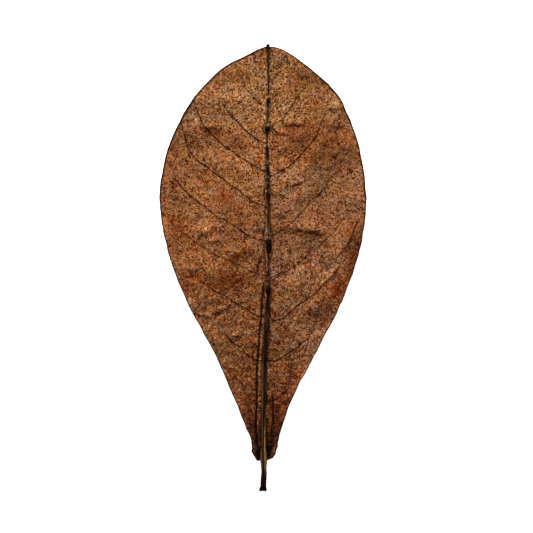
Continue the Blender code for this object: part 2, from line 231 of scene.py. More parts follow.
# Teeth on the margin: side, Y, half length and size.
TEETH = [(-1, -89.3, 0.9, 0.45), (1, -86.7, 0.9, 0.40), (1, -90.6, 0.8, 0.15)]
# Stains in the blade: X, Y, half length, half width, turn and strength. Some of the dark ones are painted
# shade on the lower sides of wrinkles, some of the pale ones painted highlights on their upper sides, and
# some of the mauve ones painted sheen.
DARK_STAINS_AND_SHADE = [
    (-26.6, 67.3, 4.4, 1.4, -8, 1), (-37, 68, 4.5, 1.8, 0, 0.35), (20.5, 92.9, 3.8, 1.8, -10, 0.5),
    (32.2, 86.4, 2.8, 2.2, -40, 0.6), (27, 90.4, 3, 2, -30, 0.35), (14.6, 68.7, 6, 1.1, -2, 0.6),
    (35.8, 68.2, 4.6, 1.6, -6, 0.7), (27.8, 69.9, 1.2, 1, 0, 0.6), (-31.4, 44, 4.4, 1.8, -8, 0.5),
    (-42.3, 39.9, 3.2, 1.7, 10, 0.55), (-36.9, 31.5, 5.2, 2.2, 8, 0.8),
    (-28.2, 14.9, 4.6, 0.9, 35, 0.6), (-43.6, 30.3, 2.2, 1.4, 0, 0.5), (-31.9, 24.2, 5.4, 2, 38, 0.9),
    (-12.6, 5.4, 4.6, 1.6, 30, 0.85), (-4.3, 3.9, 4, 4.5, 0, 0.35), (-16.8, -5.4, 8, 4, 10, 0.55),
    (-35.6, -4, 3.2, 1.6, 0, 0.8), (-35.6, -10.3, 4.5, 1.7, 0, 0.75), (-41, 15, 4.5, 9, -15, 0.5),
    (14.2, 39.9, 2.8, 0.9, 25, 0.6), (38.5, 31.9, 3.2, 1.1, -5, 0.5), (29.7, 28.2, 1.3, 1, 0, 0.6),
    (7.1, 9, 1.7, 1.3, 0, 0.8), (44.6, 7, 3.8, 12, -14, 0.95), (38, -9.5, 3.6, 8.5, -35, 0.8),
    (26.8, -3.6, 1.4, 1, 0, 0.4), (18.8, -9.4, 0.9, 0.8, 0, 0.8), (-30.2, -20.9, 3.6, 1.1, -10, 0.85),
    (-21.5, -21.9, 4.5, 1, 20, 0.85), (-22, -16.5, 3.2, 1.6, -15, 0.4), (-9.1, -28.9, 0.9, 0.9, 0, 1.1),
    (-9.6, -46.2, 1.4, 1, 30, 1), (-4.7, -37, 1.2, 5, 0, 0.3), (-10.2, -44.6, 2, 1.2, 10, 0.5),
    (4.2, -31.2, 0.8, 1.2, 0, 0.9), (7.9, -41.2, 1.3, 1.1, 0, 1.3), (22.9, -22.4, 2, 1.6, 0, 0.5),
    (13.7, -48, 1.4, 2.4, 0, 0.7), (14.8, -53.8, 1.7, 1.3, 0, 0.8), (11, -60.8, 1.2, 0.9, 20, 1.1),
    (34.2, 76.7, 4.2, 0.8, 0, 0.6), (24.5, 16.4, 7, 1.2, -8, 0.45), (41.4, 6.5, 1.2, 1.4, 0, 0.6),
    (-3.2, -2.7, 0.9, 0.8, 0, 0.9), (-4.6, -60.8, 1.5, 0.9, 0, 1.1), (-6.6, -73, 0.9, 1.3, 0, 0.7),
    (17.3, 83.6, 1, 0.9, 0, 0.8),
]
RUST_STAINS = [
    (12, -50, 8, 9, -30, 0.6), (8, -68, 6, 9, 0, 0.55), (-24.5, 66, 7, 2.4, -8, 1.3),
    (-11.5, 60.5, 7, 4, -5, 0.6), (-42.3, 50.2, 8, 4, 10, 0.4), (-18.3, 33.5, 3.4, 5.5, 15, 1),
    (-42, 20, 5, 9, 0, 0.9), (-23.5, 41.5, 3.8, 2.2, 0, 0.5), (-11.8, 27.8, 2, 1.4, 0, 0.7),
    (-14.7, 16.5, 5.5, 3.2, 10, 0.6), (-12.6, 4, 7, 3.5, 25, 0.9), (-16.8, -5.7, 11, 6.5, 10, 1),
    (-36.9, -1.9, 4, 2.5, 0, 0.5), (5.2, 11, 1.3, 4.5, 0, 0.8), (21.5, 16.9, 10.5, 1.6, -6, 1),
    (24, 62, 18, 7, 0, 0.75), (32.8, 54.6, 5.5, 2.2, 8, 0.6), (36.2, 65.8, 4.5, 1.8, 0, 0.5),
    (15, 68, 9, 2.6, 0, 1.2), (35.5, 34.5, 4, 1.5, 0, 0.4), (44.5, 5, 4.5, 12, -14, 1),
    (36.5, -10, 5, 12, -35, 1.2), (29.4, -28.9, 3, 5, -30, 0.4), (-5, -2, 3.5, 4, 0, 0.5),
    (14, -62, 5, 3, 60, 0.4), (-4.2, 30, 2, 3, 0, 0.4), (4.6, 57.5, 1.2, 3, 0, 0.5),
    (22, 90.5, 5, 2.6, -15, 0.35), (-6, -40, 2.5, 9, 0, 0.35), (7.5, -50, 2.5, 9, 0, 0.35),
    (-30, 1, 6, 4.5, 0, 0.5), (46.2, 15, 3, 8, -14, 0.8), (42.5, 17.5, 4, 7, -25, 0.8),
    (30, 24, 7, 5, 30, 0.5),
]
PALE_STAINS_AND_HIGHLIGHTS = [
    (20, 40, 24, 9, -10, 0.35), (-12.9, 83.2, 4, 2.8, -20, 0.8), (-4.8, 96.5, 3.5, 2.5, 0, 0.4),
    (8, 92, 6, 4, -30, 0.3), (31.5, 78.3, 2.5, 1, 0, 0.5), (47.6, 37.4, 2.4, 5, 5, 0.7),
    (-27.3, 18.9, 4.2, 1.1, 35, 1.1), (-23.9, 13.4, 2.8, 1.2, 20, 0.9), (-17.2, 5.2, 1, 0.8, 0, 0.8),
    (18.5, 20, 7, 1.3, -12, 0.25), (-27, -22.9, 4, 0.9, -12, 1), (-18.5, -19, 6.5, 1, 25, 0.7),
    (-7, 40, 7, 9, 0, 0.3), (10, 40, 5, 8, 0, 0.25), (9.5, -63, 1.8, 0.6, 45, 0.6),
    (22, 47, 4, 6, -30, 0.2), (-33, 76, 9, 6, 40, 0.4), (-30, 55, 6, 4, 30, 0.3),
    (-5.2, -30, 2.2, 7, 0, 0.4), (-5, -87, 0.7, 2.6, 0, 1), (5.6, -88.5, 0.6, 2, 20, 0.5),
]
# Mauve stains, partly painted sheen of the waxy skin.
MAUVE_STAINS_AND_SHEEN = [
    (-33, 76, 12, 9, 40, 0.6), (-23, 38, 8, 5, 0, 0.4), (43, 52, 5, 10, 5, 0.5), (38, 40, 6, 4, 0, 0.4),
    (9, -2, 7, 5, 0, 0.4), (9, -30, 6, 4, 0, 0.5), (30, 2, 6, 3, 0, 0.3), (-7, -14, 4, 8, 0, 0.35),
    (-14, -30, 6, 4, 0, 0.3), (-20, 12, 7, 4, 20, 0.35),
]
BLACK_STAINS = [
    (-2.3, -89.8, 3.2, 1.3, 84, 1.3), (3.1, -89, 4.6, 1.4, 98, 1.4), (-1.6, -81, 4.5, 0.7, 92, 0.8),
    (2.6, -83, 5, 0.8, 92, 0.9), (0.6, -92.8, 4.6, 0.8, 0, 1), (2.6, -72, 9, 0.5, 92, 0.6),
    (2.4, 107.6, 2.4, 1.3, 0, 0.9), (0.2, 105.4, 2.2, 0.8, 25, 0.5),
]
# What the materials call each kind of stain, some of them carrying painted shade, highlights and sheen,
# and the seed that makes its edges uneven.
STAINS = {
    "dark_stain_and_shade": (DARK_STAINS_AND_SHADE, 60), "rust_stain": (RUST_STAINS, 62), "pale_stain_and_highlight": (PALE_STAINS_AND_HIGHLIGHTS, 64),
    "mauve_stain_and_sheen": (MAUVE_STAINS_AND_SHEEN, 66), "black_stain": (BLACK_STAINS, 68),
}
# How light the blade is along its length: Y and the share of its colour that it keeps.
BLADE_LIGHT = [
    (-93, 0.75), (-77, 0.5), (-65, 0.9), (-35, 0.78), (-8, 0.87), (28, 0.7), (55, 0.85), (85, 0.72),
    (108, 0.48),
]
# Its hue, as shares of red, green and blue: redder at the foot, greyer at the tip and on the right.
BODY_HUE = (1.0, 0.90, 0.96)
FOOT_HUE = (1.0, 0.74, 0.80)
TIP_HUE = (1.0, 1.03, 1.13)
RIGHT_HUE = (1.0, 1.08, 1.26)
# How much the lightness swings from place to place.
SHADE_SWING = 0.06
# How far out from the midrib the specks of mould have thinned out.
SPECKLED_REACH = 34.0

# How dense the fine streaks beside the midrib's foot and the net of small veins are along Y.
STREAKED = [(-93, 1), (-80, 0.9), (-65, 0.55), (-50, 0.2), (-38, 0), (108, 0)]
NETTED = [(-93, 0.6), (-70, 1), (-45, 0.85), (-20, 0.6), (10, 0.35), (50, 0.2), (108, 0.15)]

# The crest of the midrib as the photograph shows it: its middle, half of its width, and its height
# above the blade, to which the knots (Y, half length, height) are added.
CREST_PATH = [
    (-108.6, 0.1), (-104, 0.34), (-98.2, 0.5), (-80, 0.35), (-64.2, 0.42), (-52, 0.5), (-45, 0.8),
    (-39.9, 1.15), (-25, 1.9), (-18, 2.15), (-12, 2.7), (0, 2.5), (11.1, 2.85), (20, 2.6), (35, 2.55),
    (50, 2.3), (67.9, 2.15), (75, 2.45), (81, 2.75), (91.2, 2.7), (108.6, 2.4),
]
CREST_HALF_WIDTH = [
    (-108.6, 1.9), (-107.3, 1.8), (-106.2, 1.52), (-103, 1.46), (-98, 1.34), (-95, 1.55), (-92.8, 1.95),
    (-90.5, 1.6), (-86, 1.2), (-80, 1.1), (-64, 1.18), (-50, 1.3), (-40, 1.22), (-30, 1.15),
    (-20, 1.05), (-14.5, 0.9), (-11.5, 1.2), (-8.5, 0.95), (-4, 0.82), (2, 0.62), (6, 0.72),
    (8.4, 1.25), (11.3, 1.36), (13.6, 1.2), (16, 0.88), (20, 0.8), (29, 0.74), (33, 0.82), (34.7, 1.02),
    (36.6, 0.82), (41, 0.88), (44, 0.82), (52, 0.82), (58, 0.8), (61, 0.48), (64, 0.66), (66, 1.12),
    (67.6, 1.28), (69, 0.78), (71, 0.56), (78, 0.56), (80, 0.95), (81.4, 0.95), (82.6, 0.58), (90, 0.5),
    (98, 0.46), (104, 0.48), (107.4, 0.9), (108.6, 0.6),
]
CREST_HEIGHT = [(-108.6, 0.35), (-92, 0.35), (-70, 0.55), (-10, 0.5), (60, 0.35), (108.6, 0.2)]
KNOTS = [
    (80.7, 1.3, 0.5), (67.2, 1.6, 0.75), (58.6, 1.5, 0.3), (42.6, 1.3, 0.35), (40.2, 1.1, 0.25),
    (34.7, 1.5, 0.3), (12, 2.6, 1.1), (8.6, 1.8, 0.5), (-10.4, 2.6, 0.6), (-30, 4, 0.2),
]
# The groove along the crest: its middle, and its depth, which also sets how dark the shade painted in it
# is.
GROOVE_PATH = [
    (-108.6, 0.3), (-97, 0.4), (-93, 0.22), (-80, 0.36), (-64, 0.57), (-47.8, 0.72), (-40, 1.2), (8, 3),
    (17, 2.75), (108.6, 2.5),
]
GROOVE_DEPTH = [
    (-108.6, 0.3), (-104, 0.35), (-96, 0.55), (-60, 0.6), (-48, 0.45), (-43, 0.1), (-36, 0), (-12, 0),
    (-6, 0.35), (0, 0.1), (4, 0), (13.4, 0), (15.5, 0.35), (19, 0.25), (22, 0), (108.6, 0),
]
GROOVE_HALF_WIDTH = 0.30
# How much wider than usual the dark line beside the midrib is, painted shade that is partly a stain, and
# how far it leans to the left.
RIB_SHADOW_LEAN = 0.3
RIB_SHADOW = [
    (-108.6, 0), (-40, 0), (-31, 0.1), (-22, 0.25), (-17, 0.3), (-13.5, 0.6), (-8, 0.2), (-2, 0.3),
    (2, 0.5), (6.5, 1), (9.5, 0.3), (13, 0.4), (16.5, 1.2), (20, 0.4), (27, 0.35), (33, 0.1),
    (36.5, 0.95), (40, 0.1), (46, 0.1), (51.5, -0.45), (56, -0.1), (61, -1.3), (66, 0.35), (71, -0.3),
    (76.5, 0.5), (81, -0.1), (86.5, -1), (91.5, -0.85), (97, -0.55), (102, 0), (108.6, 0.2),
]
# Painted highlights on the crest, pale grey, where it slopes towards the lamp: Y, half length and
# strength.
CREST_HIGHLIGHTS = [
    (98.5, 0.9, 0.5), (91, 0.9, 0.45), (82.9, 0.5, 1), (77, 1, 0.2), (69.3, 0.6, 1.3), (60.5, 1.3, 1),
    (51, 1.5, 0.45), (43.9, 0.7, 0.65), (41.2, 0.5, 0.55), (37.5, 0.6, 0.2), (27.5, 0.8, 0.2),
    (18, 1.6, 0.7), (14.7, 0.5, 1.3), (3, 1.2, 0.4), (-1, 1.4, 0.6), (-5, 1, 0.55), (-7.8, 0.6, 0.6),
    (-25, 3, 0.2),
]
# Brown strands beside the groove: strength along Y on the left, and the ochre one on the right.
LEFT_STRAND = [
    (-105, 0), (-100, 0.15), (-95, 0.45), (-90, 0.5), (-80, 0.5), (-60, 0.5), (-50, 0.35), (-43, 0.1),
    (-34, 0), (4, 0),
]
RIGHT_STRAND = [
    (-104, 0), (-99.5, 0.1), (-96, 0.75), (-90, 0.95), (-82, 1), (-77, 0.45), (-70, 0.1), (-40, 0),
    (4, 0),
]
# How black the bark is along Y: its own black-brown, and at the knots partly painted shade.
BLACK_BARK_AND_SHADE = [
    (-108.6, 0.9), (-103, 0.9), (-98, 0.3), (-80, 0.3), (-45, 0.7), (-36, 0.8), (-26, 0.6), (-15, 0.5),
    (-11, 1), (-8.5, 0.2), (5, 0.1), (8, 1), (12.8, 1), (14.2, 0.2), (20, 0.2), (33, 0.5), (34.7, 0.9),
    (37, 0.4), (50, 0.6), (57, 0.7), (60, 0.1), (64.5, 0.6), (66.6, 1), (68.6, 0.6), (70, 0), (79, 0.4),
    (80.8, 1), (82.4, 0.1), (90, 0.3), (104, 0.6), (108.6, 1),
]

# Relief of the blade, as height and half width: veins above and below, and the rolled margin. Then
# the height of the pale strips, and how far the blade stays below the midrib's groove.
UPPER_VEIN = (0.16, 0.42)
LOWER_VEIN = (0.40, 0.55)
MARGIN_BEAD = (0.10, 0.45)
STRIP_HEIGHT = 0.20
GROOVE_CLEARANCE = 0.45
LEAST_THICKNESS = 0.2

# Grid of the blade and of the midrib.
PLAIN_ROWS = 440
VEIN_ROW_OFFSETS = (-0.9, -0.5, -0.25, 0.0, 0.25, 0.5, 0.9)
LEAST_ROW_GAP = 0.12
HALF_COLUMNS = 66
MARGIN_COLUMNS = (0.975, 0.989)
COLUMN_CROWDING = 1.2
RIM_BULGE = 0.12
RIB_RINGS = 1000
RIB_SIDES = 40
# The baked picture: the upper side fills its left half and the lower side its right half.
BAKE_SCALE = 0.00454
BAKE_RIM = 0.4
# What the blade's upper material reads at each point.
BLADE_VALUES = (
    "vein_gap", "vein_strength", "crease_gap", "crease_shade", "edge_gap", "strip", "dark_stain_and_shade",
    "rust_stain", "pale_stain_and_highlight", "mauve_stain_and_sheen", "black_stain", "rib_gap", "inner", "streaked", "netted",
)
# The stage: half the floor in millimetres, how strongly it glows, the light from the walls and the
# ceiling, the lamp's place and width in metres and its power in watts, and the photograph's frame.
FLOOR_HALF = 3000.0
TABLE_GLOW = 0.95
WALL_LIGHT = 0.95
CEILING_LIGHT = 0.08
LAMP_PLACE = (-0.15, 0.88, 0.60)
LAMP_WIDTH = 0.5
LAMP_POWER = 21.0
PHOTO_WIDTH = 533
PHOTO_PIXEL = 0.4854
PHOTO_CENTRE = (1.8, 0.6)
PHOTO_HEIGHT = 4.0
LENS_LENGTH = 200.0
SENSOR_WIDTH = 36.0


def smooth_curve(points, at):
    """Value at a position of the smooth curve through (position, value) points: cubic pieces whose
    slope at a point is the harmonic mean of its two neighbours', so that it never overshoots."""
    xs, ys = (np.array(column, float) for column in zip(*points))
    rise = np.diff(ys) / np.diff(xs)
    before, after = rise[:-1], rise[1:]
    same_way = before * after > 0.0
    inner = np.where(same_way, 2.0 * before * after / np.where(same_way, before + after, 1.0), 0.0)
    slopes = np.concatenate([rise[:1], inner, rise[-1:]])
    at = np.clip(np.asarray(at, float), xs[0], xs[-1])
    cell = np.clip(np.searchsorted(xs, at) - 1, 0, len(xs) - 2)
    span = xs[cell + 1] - xs[cell]
    t = (at - xs[cell]) / span
    return ((2 * t**3 - 3 * t**2 + 1) * ys[cell] + (t**3 - 2 * t**2 + t) * span * slopes[cell]
            + (3 * t**2 - 2 * t**3) * ys[cell + 1] + (t**3 - t**2) * span * slopes[cell + 1])


def smooth_step(t):
    """0 below t = 0, 1 above t = 1, and 3t^2 - 2t^3 between."""
    t = np.clip(t, 0.0, 1.0)
    return t * t * (3.0 - 2.0 * t)


def ripple(x, y, length, seed, terms=18):
    """A smooth random field between about -1 and 1: plane waves of about one length, summed."""
    rng = np.random.default_rng(seed)
    turns = rng.uniform(0.0, 2.0 * np.pi, terms)
    sizes = 2.0 * np.pi / length * rng.uniform(0.6, 1.5, terms)
    starts = rng.uniform(0.0, 2.0 * np.pi, terms)
    waves = [np.sin(size * (np.cos(turn) * x + np.sin(turn) * y) + start)
             for turn, size, start in zip(turns, sizes, starts)]
    return sum(waves) * math.sqrt(2.0 / terms) * 0.7


def line_distance(x, y, line):
    """Distance of every point to a line of straight runs, how far along it the nearest spot is, from
    0 to 1, and on which side of the line the point lies, as -1 or 1."""
    line = np.asarray(line, float)
    lengths = np.hypot(*np.diff(line, axis=0).T)
    starts = np.concatenate([[0.0], np.cumsum(lengths)])
    best = np.full(x.shape, np.inf)
    where, side = np.zeros(x.shape), np.ones(x.shape)
    for number, length in enumerate(lengths):
        (ax, ay), (bx, by) = line[number], line[number + 1]
        t = np.clip(((x - ax) * (bx - ax) + (y - ay) * (by - ay)) / length**2, 0.0, 1.0)
        gap = np.hypot(x - ax - t * (bx - ax), y - ay - t * (by - ay))
        nearer = gap < best
        best = np.where(nearer, gap, best)
        where = np.where(nearer, starts[number] + t * length, where)
        side = np.where(nearer, np.where((bx - ax) * (y - ay) > (by - ay) * (x - ax), 1.0, -1.0), side)
    return best, where / starts[-1], side


def ridge(x, y, wrinkle):
    """A ridge with a bell-shaped cross-section that fades out along its length in the same way."""
    middle_x, middle_y, long_half, wide_half, turn, size = wrinkle
    cosine, sine = math.cos(math.radians(turn)), math.sin(math.radians(turn))
    along = (x - middle_x) * cosine + (y - middle_y) * sine
    across = (y - middle_y) * cosine - (x - middle_x) * sine
    return size * np.exp(-(along / long_half)**2 - (across / wide_half)**2)


def rest_weight(x, y):
    """1 on the spots that lie on the floor, fading to 0 around them."""
    weight = np.zeros_like(x)
    for spot_x, spot_y in REST_SPOTS:
        distance = np.hypot(x - spot_x, y - spot_y)
        fade = (distance - REST_FLAT_RADIUS) / (REST_BLEND_RADIUS - REST_FLAT_RADIUS)
        weight = np.maximum(weight, 1.0 - smooth_step(fade))
    return weight


def keel_depth(y):
    """How far the midrib stands below the sheet, from the tip down to the petiole."""
    down = smooth_step((KEEL_TIP_Y - y) / (KEEL_TIP_Y - KEEL_BASE_Y))
    return KEEL_DEPTH_TIP + (KEEL_DEPTH_BASE - KEEL_DEPTH_TIP) * down


def blade_stations():
    """Heights on the midrib where the blade's rows start: evenly spread, and seven at each vein. Their
    count is odd, because the lower sheet takes every second one."""
    crests = np.array(sorted({vein[0] for vein in LEFT_VEINS + RIGHT_VEINS}))
    near_veins = (crests[:, None] + np.array(VEIN_ROW_OFFSETS)).ravel()
    plain = np.linspace(BLADE_BASE_Y, TIP_ROW[0], PLAIN_ROWS)
    apart = np.abs(plain[:, None] - near_veins).min(axis=1) > 2.0 * LEAST_ROW_GAP
    apart[[0, -1]] = True
    near_veins = near_veins[np.abs(near_veins[:, None] - plain[[0, -1]]).min(axis=1) > LEAST_ROW_GAP]
    stations = np.unique(np.concatenate([plain[apart], near_veins]).round(6))
    keep = np.concatenate([[True], np.diff(stations) > LEAST_ROW_GAP]) | np.isin(stations, crests)
    stations = stations[keep]
    return stations if len(stations) % 2 else np.delete(stations, 1)


def margin_x(side, y):
    """X of the margin at the heights y: the smooth outline, a fine unevenness of 0.1 mm and the teeth."""
    outline = smooth_curve(LEFT_MARGIN if side < 0 else RIGHT_MARGIN, y)
    uneven = 0.12 * ripple(y, 0.0 * y, 9.0, 3 + side) + 0.05 * ripple(y, 0.0 * y, 3.5, 4 + side)
    inside = smooth_step((y + 88.0) / 6.0) * smooth_step((105.0 - y) / 4.0)
    teeth = sum(size * np.exp(-((y - middle) / half_length)**2)
                for tooth_side, middle, half_length, size in TEETH if tooth_side == side)
    return outline + uneven * inside + side * teeth


def row_bends(rows, side, share):
    """How far each row through a vein lies above the straight line between its ends, at each share."""
    bends = []
    for station, landing, _, _, points in rows:
        start_x = smooth_curve(RIB_PATH, station)
        reach = margin_x(side, landing) - start_x
        shares = np.array([0.0] + [(x - start_x) / reach for x, _ in points] + [1.0])
        heights = np.array([station] + [y for _, y in points] + [landing])
        above_line = heights - station - (landing - station) * shares
        bends.append(smooth_curve(list(zip(shares, above_line)), share))
    return np.array(bends)


def half_blade(stations, side):
    """Plan and values of one half of the blade on a grid of stations and shares of the way out.

    A row starts on the midrib at its station and ends at its landing height on the margin. It runs
    straight between them, plus the bend of the veins above and below it in proportion."""
    if side < 0:
        rows = [LEFT_BASE_ROW] + LEFT_VEINS + [TIP_ROW]
    else:
        rows = [RIGHT_BASE_ROW] + RIGHT_VEINS + [TIP_ROW]
    starts = np.array([row[0] for row in rows])
    landing = np.interp(stations, starts, [row[1] for row in rows])
    cell = np.clip(np.searchsorted(starts, stations, side="right") - 1, 0, len(rows) - 2)
    phase = ((stations - starts[cell]) / (starts[cell + 1] - starts[cell]))[:, None]
    share = np.concatenate([np.linspace(0.0, 1.0, HALF_COLUMNS)**COLUMN_CROWDING, MARGIN_COLUMNS])
    share = np.sort(share)[None, :]
    bends = row_bends(rows, side, share[0])
    start_x = smooth_curve(RIB_PATH, stations)[:, None]
    reach = margin_x(side, landing)[:, None] - start_x
    x = start_x + reach * share
    y = stations[:, None] + (landing - stations)[:, None] * share
    y = y + (1.0 - phase) * bends[cell] + phase * bends[cell + 1]
    wander = 0.22 * ripple(x, y, 15.0, 20 + side) + 0.16 * ripple(x, y, 5.0, 30 + side)
    free = smooth_step(share / 0.12) * smooth_step((1.0 - share) / 0.12)
    y = y + wander * free * np.clip(np.abs(reach) / 20.0, 0.0, 1.0)
    share = np.broadcast_to(share, x.shape)
    phase = np.broadcast_to(phase, x.shape)
    return {"x": x, "y": y, "share": share, "phase": phase, "reach": np.abs(reach) + 0.0 * x,
            "side": np.full(x.shape, float(side))}


def blade_plan():
    """Both halves side by side, from the left margin to the right one."""
    stations = blade_stations()
    left, right = half_blade(stations, -1), half_blade(stations, 1)
    plan = {key: np.concatenate([left[key][:, :0:-1], right[key]], axis=1) for key in left}
    plan["station"] = np.broadcast_to(stations[:, None], plan["x"].shape)
    return plan


def blade_height(plan):
    """Height of the middle of the solid's sheet, with the fine relief that the solid leaves out."""
    x, y, share, phase = plan["x"], plan["y"], plan["share"], plan["phase"]
    left = plan["side"] < 0
    lift = np.where(left, smooth_curve(LEFT_LIFT, y), smooth_curve(RIGHT_LIFT, y))
    height = smooth_curve(SPINE_HEIGHT, y) + lift * (LIFT_STRAIGHT * share + LIFT_CURVED * share**2)
    for waves, half in ((LEFT_WAVES, left), (RIGHT_WAVES, ~left)):
        for size, length, start in waves:
            wave = size * share**2 * np.sin(2.0 * np.pi * y / length + start)
            height = height + np.where(half, wave, 0.0)
    height = height + QUILT_HEIGHT * np.sin(np.pi * phase)**2 * np.sqrt(share * np.abs(1.0 - share))
    for fold in FOLDS + WRINKLES:
        height = height + ridge(x, y, fold)
    inner = smooth_step(plan["reach"] * share / 6.0)
    crumple = sum(size * ripple(x, y, length, seed) for size, length, seed in CRUMPLES)
    sharp = CRINKLE_HEIGHT * (1.0 - np.abs(np.clip(ripple(x, y, CRINKLE_LENGTH, 44), -1.0, 1.0)))**4
    height = height + inner * (crumple + sharp)
    weight = rest_weight(x, y)
    lying = SOLID_HALF_SHEET + 0.5 * crumple + sharp
    return height * (1.0 - weight) + lying * weight, weight


def vein_lines(plan):
    """Each side vein's line, read from the grid row that it runs on, with its reach and darkness."""
    middle = plan["x"].shape[1] // 2
    stations = plan["station"][:, 0]
    lines = []
    for veins, columns in ((LEFT_VEINS, slice(middle, None, -1)), (RIGHT_VEINS, slice(middle, None))):
        for start, _, reach, darkness, _ in veins:
            row = int(np.abs(stations - start).argmin())
            line = np.stack([plan["x"][row, columns], plan["y"][row, columns]], axis=1)
            lines.append((line, reach, darkness, veins is LEFT_VEINS))
    return lines


def vein_values(plan):
    """Distance of every point to the nearest side vein, and how strong that vein is there."""
    gap = np.full(plan["x"].shape, 9.0)
    strength = np.zeros(plan["x"].shape)
    for line, reach, darkness, on_left in vein_lines(plan):
        distance, along, _ = line_distance(plan["x"], plan["y"], line)
        half = (plan["side"] < 0) == on_left
        nearer = half & (distance < gap)
        gap = np.where(nearer, distance, gap)
        fade = darkness * (1.0 - smooth_step((along - 0.75 * reach) / (0.35 * reach)))
        strength = np.where(nearer, fade, strength)
    return gap, strength


def crease_values(plan):
    """Distance to the nearest crease, negative on its left, how dark the painted shade along it is there,
    and how deep. The sign lets a line show sharply between two grid points."""
    gap = np.full(plan["x"].shape, 9.0)
    strength = np.zeros(plan["x"].shape)
    depth = np.zeros(plan["x"].shape)
    for line, deep, darkness in CREASES:
        distance, along, side = line_distance(plan["x"], plan["y"], line)
        length = np.hypot(*np.diff(np.array(line), axis=0).T).sum()
        fade = min(2.5 / length, 0.3)
        ends = smooth_step(along / fade) * smooth_step((1.0 - along) / fade)
        nearer = distance < np.abs(gap)
        gap = np.where(nearer, distance * side, gap)
        strength = np.where(nearer, darkness * ends * smooth_step((3.0 - distance) / 1.5), strength)
        depth = np.maximum(depth, deep * ends * np.exp(-(distance / CREASE_HALF_WIDTH)**2))
    return gap, strength, depth


def strip_values(plan):
    """Where the paler strips beside the midrib are: between the crest's edge and a crease."""
    x, y = plan["x"], plan["y"]
    inside = np.zeros(x.shape)
    for side, crease, strengths in PALE_STRIPS:
        line = np.array(sorted(crease, key=lambda point: point[1]))
        crease_x = np.interp(y, line[:, 1], line[:, 0])
        crest_edge = smooth_curve(CREST_PATH, y) + side * smooth_curve(CREST_HALF_WIDTH, y)
        within = smooth_step(side * (crease_x - x) / 0.4)
        within = within * smooth_step(side * (x - crest_edge) / 0.3 + 1.0)
        inside = np.maximum(inside, within * smooth_curve(strengths, y))
    return inside


def stain_values(plan, stains, seed):
    """Strength of one kind of stain, its spots' edges made uneven by bending the plan."""
    x = plan["x"] + 0.9 * ripple(plan["x"], plan["y"], 5.0, seed)
    y = plan["y"] + 0.9 * ripple(plan["x"], plan["y"], 5.0, seed + 1)
    strongest = np.zeros(x.shape)
    for stain in stains:
        strongest = np.maximum(strongest, ridge(x, y, stain))
    return strongest


def new_piece(name, points, faces, materials, slots=None):
    """A mesh object at the origin from points in millimetres, smooth shaded and facing outwards."""
    mesh = bpy.data.meshes.new(name)
    mesh.from_pydata((points * MM).tolist(), [], faces)
    for material in materials:
        mesh.materials.append(material)
    if slots is not None:
        mesh.polygons.foreach_set("material_index", slots)
    mesh.update()
    mesh.shade_smooth()
    piece = bpy.data.objects.new(name, mesh)
    bpy.context.scene.collection.objects.link(piece)
    return piece


def set_values(piece, values):
    """Numbers or vectors for each point of a piece, which its materials read by name."""
    for name, numbers in values.items():
        kind, slot = ("FLOAT", "value") if numbers.ndim == 1 else ("FLOAT_VECTOR", "vector")
        layer = piece.data.attributes.new(name, kind, "POINT")
        layer.data.foreach_set(slot, np.ascontiguousarray(numbers, dtype=np.float32).ravel())


def grid_faces(numbers):
    """The quads of a grid of point numbers, wound as rows up and columns to the right."""
    corners = numbers[:-1, :-1], numbers[:-1, 1:], numbers[1:, 1:], numbers[1:, :-1]
    return np.stack([corner.ravel() for corner in corners], axis=1)


def lowest_near(height):
    """The lowest of the heights at a grid point and at the eight around it."""
    padded = np.pad(height, 1, mode="edge")
    rows, columns = height.shape
    return np.min([padded[i:i + rows, j:j + columns] for i in range(3) for j in range(3)], axis=0)


def border(numbers):
    """The point numbers around a grid, from its first corner along the first row and on."""
    return np.concatenate([numbers[0, :-1], numbers[:-1, -1], numbers[-1, :0:-1], numbers[:0:-1, 0]])


def blade_shade(x, y):
    """The share of its colour that the blade keeps: its lightness times its hue, a little uneven."""
    in_foot = smooth_step((-50.0 - y) / 22.0)[..., None]
    in_tip = smooth_step((y - 50.0) / 35.0)[..., None]
    in_right = smooth_step((x + 12.0) / 28.0) * (1.0 - smooth_step((y - 35.0) / 20.0))
    in_right = in_right[..., None] * (1.0 - in_foot)
    hue = (1.0 - in_foot - in_tip) * BODY_HUE + in_foot * FOOT_HUE + in_tip * TIP_HUE
    hue = hue * (1.0 + in_right * (np.array(RIGHT_HUE) - 1.0))
    return (smooth_curve(BLADE_LIGHT, y) * (1.0 + SHADE_SWING * ripple(x, y, 26.0, 70)))[..., None] * hue


def blade_values(plan):
    """All that the blade's relief and materials read at each point of its plan, by name."""
    x, y = plan["x"], plan["y"]
    crest, half_width = smooth_curve(CREST_PATH, y), smooth_curve(CREST_HALF_WIDTH, y)
    from_rib = np.abs(x - crest) - half_width
    lean = RIB_SHADOW_LEAN * smooth_step((y + 24.0) / 8.0) * smooth_step((74.0 - y) / 8.0)
    vein_gap, vein_strength = vein_values(plan)
    crease_gap, crease_shade, crease_depth = crease_values(plan)
    edge_gap = np.minimum((1.0 - plan["share"]) * plan["reach"], np.hypot(x - TIP_X, y - TIP_Y))
    thinner_line = 1.0 + 0.6 * smooth_step((y - 30.0) / 40.0)
    values = {
        "vein_gap": vein_gap, "vein_strength": vein_strength, "crease_gap": crease_gap,
        "crease_shade": crease_shade, "crease_depth": crease_depth,
        "edge_gap": edge_gap * thinner_line, "strip": strip_values(plan),
        "rib_gap": np.abs(x - crest + lean) - half_width - smooth_curve(RIB_SHADOW, y),
        "inner": 1.0 - smooth_step(from_rib / SPECKLED_REACH),
        "streaked": smooth_curve(STREAKED, y) * (1.0 - smooth_step((from_rib - 2.0) / 9.0)),
        "netted": smooth_curve(NETTED, y), "shade": blade_shade(x, y),
    }
    for name, (stains, seed) in STAINS.items():
        values[name] = stain_values(plan, stains, seed)
    return values


